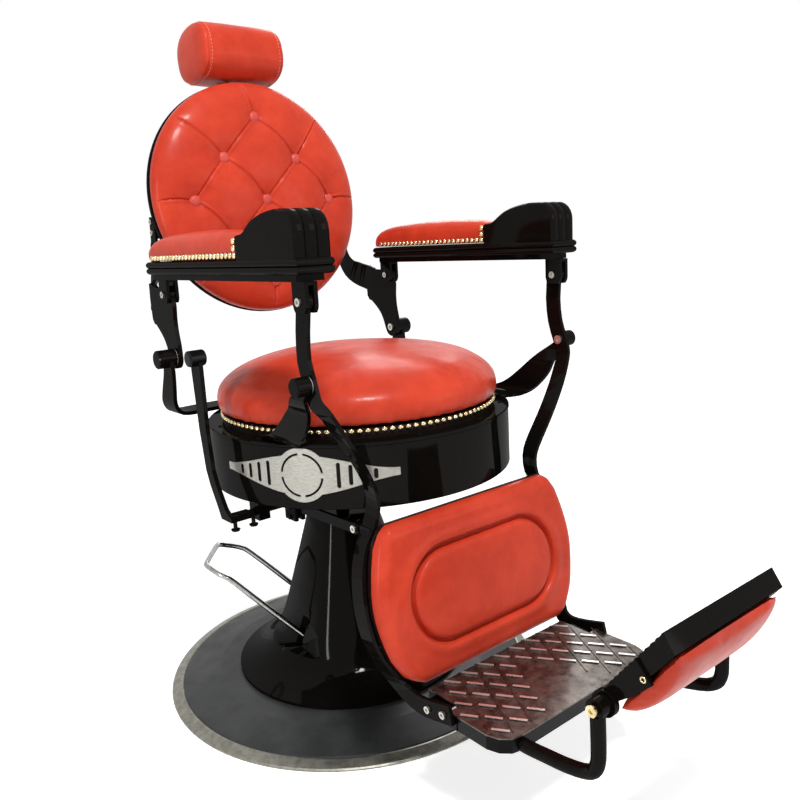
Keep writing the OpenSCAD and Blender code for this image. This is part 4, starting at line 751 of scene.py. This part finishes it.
# %% Headrest stitches
STITCHES, STITCH_LONG, STITCH_R, STITCH_FROM_SEAM = 64, 0.0023, 0.0009, 0.0045
points = [v.co for v in bolster.data.vertices]
middle = sum(points, Vector()) / len(points)
hull = BVHTree.FromPolygons(points, [p.vertices for p in bolster.data.polygons])
shape = bmesh.new()
for side in (-1, 1):
    start = Vector((side * (BOLSTER_SEAM - STITCH_FROM_SEAM), middle.y, middle.z))
    for number in range(STITCHES):
        angle = 2 * math.pi * number / STITCHES
        outward = Vector((0, math.cos(angle), math.sin(angle)))
        along = Vector((0, -math.sin(angle), math.cos(angle)))
        place = hull.ray_cast(start, outward)[0]
        if place is not None:
            add_bead(shape, place, along, STITCH_R, STITCH_LONG / STITCH_R, (6, 5))
finish_piece(new_piece("headrest_stitches", shape), THREAD, "headrest", "red_leather")

# %% [markdown]
# The arm pads are thin cushions tacked to the wooden arm, higher in front where they meet
# the carved block, and rounded off behind.

# %% Arm pads
ARM_TOP_Z, PAD_TACKED = 0.811, 0.006
for side in ("left", "right"):
    pad = copy_of(f"arm_pad_{side}", f"arm_cushion_{side}")
    swell(pad, 0.004, 0.003, lambda p: p.z < ARM_TOP_Z + PAD_TACKED, shrink=0.001, rounds=3)
    finish_piece(pad, LEATHER, f"arm_{side}", "red_leather", f"arm_pad_{side}")

# %% [markdown]
# ## Leg panel
# The leg panel is a leather pad on a board, wider in the middle than at its ends. A deep
# sewn groove draws a long oval on it, and the leather inside the oval stands up like a small
# cushion of its own.

# %% Leg panel frame
LEG_PLACE = Matrix.Translation((0, -0.3623, 0.4225)) @ Matrix.Rotation(
    math.radians(180 - 10.4), 4, "X")
LEG_LENGTH, LEG_HALF, LEG_BASE = 0.249, 0.213, 0.010
LEG_WIDTHS = ((0, 0.838), (0.12, 0.92), (0.32, 0.981), (0.48, 1), (0.64, 0.977),
              (0.8, 0.925), (0.92, 0.84), (1, 0.73))
OVAL_STRAIGHT, OVAL_R, OVAL_MIDDLE = 0.080, 0.072, 0.127
ROLL_REACH, BORDER_THICK = 0.022, 0.0205
LIP_HEIGHT, LIP_OUT, LIP_WIDTH = 0.0026, 0.012, 0.011
GROOVE_DEPTH, GROOVE_WIDTH, GROOVE_FADE = 0.0120, 0.0042, 0.01
CUSHION_RISE, CUSHION_REACH = 0.0052, 0.013


def leg_half(share):
    """Half width of the panel at a share of its length, on a smooth curve."""
    last = len(LEG_WIDTHS) - 1
    k = max(i for i in range(last) if share >= LEG_WIDTHS[i][0] or i == 0)
    near = [LEG_WIDTHS[max(0, min(last, k + j))] for j in (-1, 0, 1, 2)]
    t = (share - near[1][0]) / (near[2][0] - near[1][0])
    a, b, c, d = (width for _, width in near)
    curve = 2 * b + (c - a) * t + (2 * a - 5 * b + 4 * c - d) * t * t \
        + (3 * b - a - 3 * c + d) * t ** 3
    return LEG_HALF * curve / 2


def leg_height(x, s, rim):
    """Height of the leather above its board: rolled rim, border, groove and raised oval."""
    over = max(0.0, abs(x) - OVAL_STRAIGHT)
    oval = math.hypot(over, s - OVAL_MIDDLE) - OVAL_R
    roll = max(0.0, 1 - (1 - min(1.0, rim / ROLL_REACH)) ** 2.3) ** 0.5
    border = BORDER_THICK + LIP_HEIGHT * math.exp(-(((oval - LIP_OUT) / LIP_WIDTH) ** 2))
    groove = GROOVE_DEPTH * math.exp(-((abs(oval) / GROOVE_WIDTH) ** 1.9))
    raised = CUSHION_RISE * (1 - math.exp(min(0.0, oval) / CUSHION_REACH))
    return roll * (border + raised) - groove * min(1.0, rim / GROOVE_FADE)


# %% [markdown]
# A flat net takes the panel's outline and then these heights. It is denser near its edges,
# where the leather rolls down to the board, and closed behind by one flat face.

# %% Leg cushion
LEG_NET, LEG_CROWDING = (230, 150), (0.45, 0.4)
LEG_MARGIN, CORNER_START = 0.0015, 0.9
LEG_LIFT, LEG_UNDERSIDE = 0.0008, 0.0003


def crowd(value, amount):
    """Moves even steps from -1 to 1 towards both ends."""
    return math.sin(value * math.pi / 2) * amount + value * (1 - amount)


shape = bmesh.new()
bmesh.ops.create_grid(shape, x_segments=LEG_NET[0], y_segments=LEG_NET[1], size=1)
for vertex in shape.verts:
    u = crowd(vertex.co.x, LEG_CROWDING[0])
    v = crowd(vertex.co.y, LEG_CROWDING[1])
    share = (v + 1) / 2
    corner = max(0.0, abs(v) - CORNER_START) ** 2
    half = leg_half(share) - LEG_MARGIN - corner
    s = LEG_MARGIN + share * (LEG_LENGTH - 2 * LEG_MARGIN)
    x = u * half
    rim = max(0.0, min(half - abs(x), s - LEG_MARGIN, LEG_LENGTH - LEG_MARGIN - s))
    vertex.co = (x, -LEG_BASE + LEG_LIFT + leg_height(x, s, rim), s)
turn_faces(shape, 1)
edge = extend_edge(
    shape, [e for e in shape.edges if e.is_boundary],
    lambda point: (point.x, -LEG_BASE + LEG_UNDERSIDE, point.z))
bmesh.ops.contextual_create(shape, geom=edge)
shape.transform(LEG_PLACE)
leg = new_piece("leg_cushion", shape)
finish_piece(leg, LEATHER, "footrest", "red_leather", "kick_cushion")

# %% [markdown]
# The flap at the foot of the chair is padded on its outer side, for the calves when the
# chair lies back and the flap is folded over.

# %% Flap cushion
flap = copy_of("flap_cushion", "flap_cushion_hide")
swell(flap, 0.004, 0.004, lambda p: False, shrink=0.001, rounds=3)
finish_piece(flap, LEATHER, "foot_flap", "red_leather", "flap_cushion")

# %% [markdown]
# A small brass eyelet is set in each end of the flap. It is a thin ring: the wire's round
# section is turned about an upright axis, and the ring is then tipped and put in its place.

# %% Flap eyelets
EYELET_R, EYELET_WIRE = 0.0032, 0.0011
EYELET_X, EYELET_Y, EYELET_Z = 0.1250, -0.7636, 0.3285
shape = bmesh.new()
for x in (-EYELET_X, EYELET_X):
    wire = bmesh.ops.create_circle(shape, segments=10, radius=EYELET_WIRE)["verts"]
    bmesh.ops.translate(shape, vec=(EYELET_R, 0, 0), verts=wire)
    loop = list({e for v in wire for e in v.link_edges})
    bmesh.ops.rotate(shape, matrix=Matrix.Rotation(math.pi / 2, 3, "X"), verts=wire)
    bmesh.ops.spin(
        shape, geom=wire + loop, axis=(0, 0, 1), cent=(0, 0, 0),
        angle=2 * math.pi, steps=28, use_merge=True)
    ring = [v for v in shape.verts if v.co.length < 2 * EYELET_R]
    turn = Matrix.Rotation(math.pi / 2, 4, "Y")
    bmesh.ops.transform(
        shape, matrix=Matrix.Translation((x, EYELET_Y, EYELET_Z)) @ turn, verts=ring)
bmesh.ops.remove_doubles(shape, verts=shape.verts, dist=MERGE_DISTANCE)
bmesh.ops.recalc_face_normals(shape, faces=shape.faces)
finish_piece(new_piece("flap_eyelets", shape), BRASS, "foot_flap", "brass")


# %% [markdown]
# ## Brass nails
# Upholstery nails have a domed head. One low sphere is placed again and again, squashed along
# the direction it is driven in, so hundreds of them stay light.

# %% Nail helper
NAIL_R, NAIL_DOME = 0.0050, 0.62


def drive_nails(name, spots):
    """A piece of nails, each given by its place and the direction its head looks."""
    shape = bmesh.new()
    for place, facing in spots:
        add_bead(shape, place, facing, NAIL_R, NAIL_DOME, (10, 6))
    return new_piece(name, shape)


# %% Seat nails
SEAT_NAILS, SEAT_NAIL_R, SEAT_NAIL_Z = 120, 0.2436, 0.5439
ring = []
for number in range(SEAT_NAILS):
    angle = 2 * math.pi * number / SEAT_NAILS
    facing = Vector((math.cos(angle), math.sin(angle), 0))
    place = facing * SEAT_NAIL_R
    ring.append(((place.x, place.y + SEAT_CENTRE.y, SEAT_NAIL_Z), facing))
finish_piece(drive_nails("seat_nail_row", ring), BRASS, "seat", "brass", "seat_nails")

# %% [markdown]
# Each arm pad has a straight row of nails along both sides, and two more nails stand above
# the first of each row, where the pad's front is higher.

# %% Arm nails
ARM_X, ARM_NAIL_OUT, ARM_NAIL_PITCH = 0.25075, 0.02768, 0.0124
FIRST_NAIL_Y, ARM_NAIL_Z = -0.1882 + 0.007, ARM_TOP_Z + 0.0061
ROW_LENGTH = 0.333 - 0.026
UPPER_PITCH, UPPER_IN, UPPER_TILT = 0.01035, 0.0006, 0.12
for side, sign in (("left", 1), ("right", -1)):
    spots = []
    for out in (-1, 1):
        x = sign * ARM_X + out * ARM_NAIL_OUT
        for number in range(int(ROW_LENGTH / ARM_NAIL_PITCH) + 1):
            place = (x, FIRST_NAIL_Y + number * ARM_NAIL_PITCH, ARM_NAIL_Z)
            spots.append((place, (out, 0, 0)))
        for number in (1, 2):
            place = (x - out * UPPER_IN * (number - 1), FIRST_NAIL_Y,
                     ARM_NAIL_Z + number * UPPER_PITCH)
            spots.append((place, (out, 0, UPPER_TILT)))
    finish_piece(drive_nails(f"arm_nail_row_{side}", spots), BRASS, f"arm_{side}", "brass",
                 f"arm_nails_{side}")


# %% [markdown]
# ## Floor
# A plain pale floor that still takes the chair's shadow. It glows a little more far from the
# chair, where the lamps no longer reach, so that it runs into the white room.

# %% Floor
FLOOR_HALF = 30
NEAR, FAR_OFF, NEAR_GLOW, FAR_GLOW = 0.9, 2.8, 0.55, 0.74
shape = bmesh.new()
bmesh.ops.create_grid(shape, x_segments=1, y_segments=1, size=FLOOR_HALF)
floor = new_piece("floor", shape)
paint = Finish("pale floor", (0.88, 0.88, 0.88), 0.9, Specular_IOR_Level=0.0)
glow = paint.tree.nodes.new("ShaderNodeEmission")
join = paint.tree.nodes.new("ShaderNodeAddShader")
away = paint.tree.nodes.new("ShaderNodeVectorMath")
away.operation = "LENGTH"
link_nodes(paint.tree, (paint.place, away.inputs[0]))
floor_glow = paint.span(away.outputs["Value"], NEAR, FAR_OFF, NEAR_GLOW, FAR_GLOW)
lift = paint.maths("MULTIPLY", seen_plainly(paint.tree), floor_glow)
output = paint.tree.nodes["Material Output"]
link_nodes(
    paint.tree,
    (lift, glow.inputs["Strength"]),
    (paint.shader.outputs["BSDF"], join.inputs[0]),
    (glow.outputs["Emission"], join.inputs[1]),
    (join.outputs["Shader"], output.inputs["Surface"]),
)
floor.data.materials.append(paint.material)
print("floor glow", NEAR_GLOW, "to", FAR_GLOW)
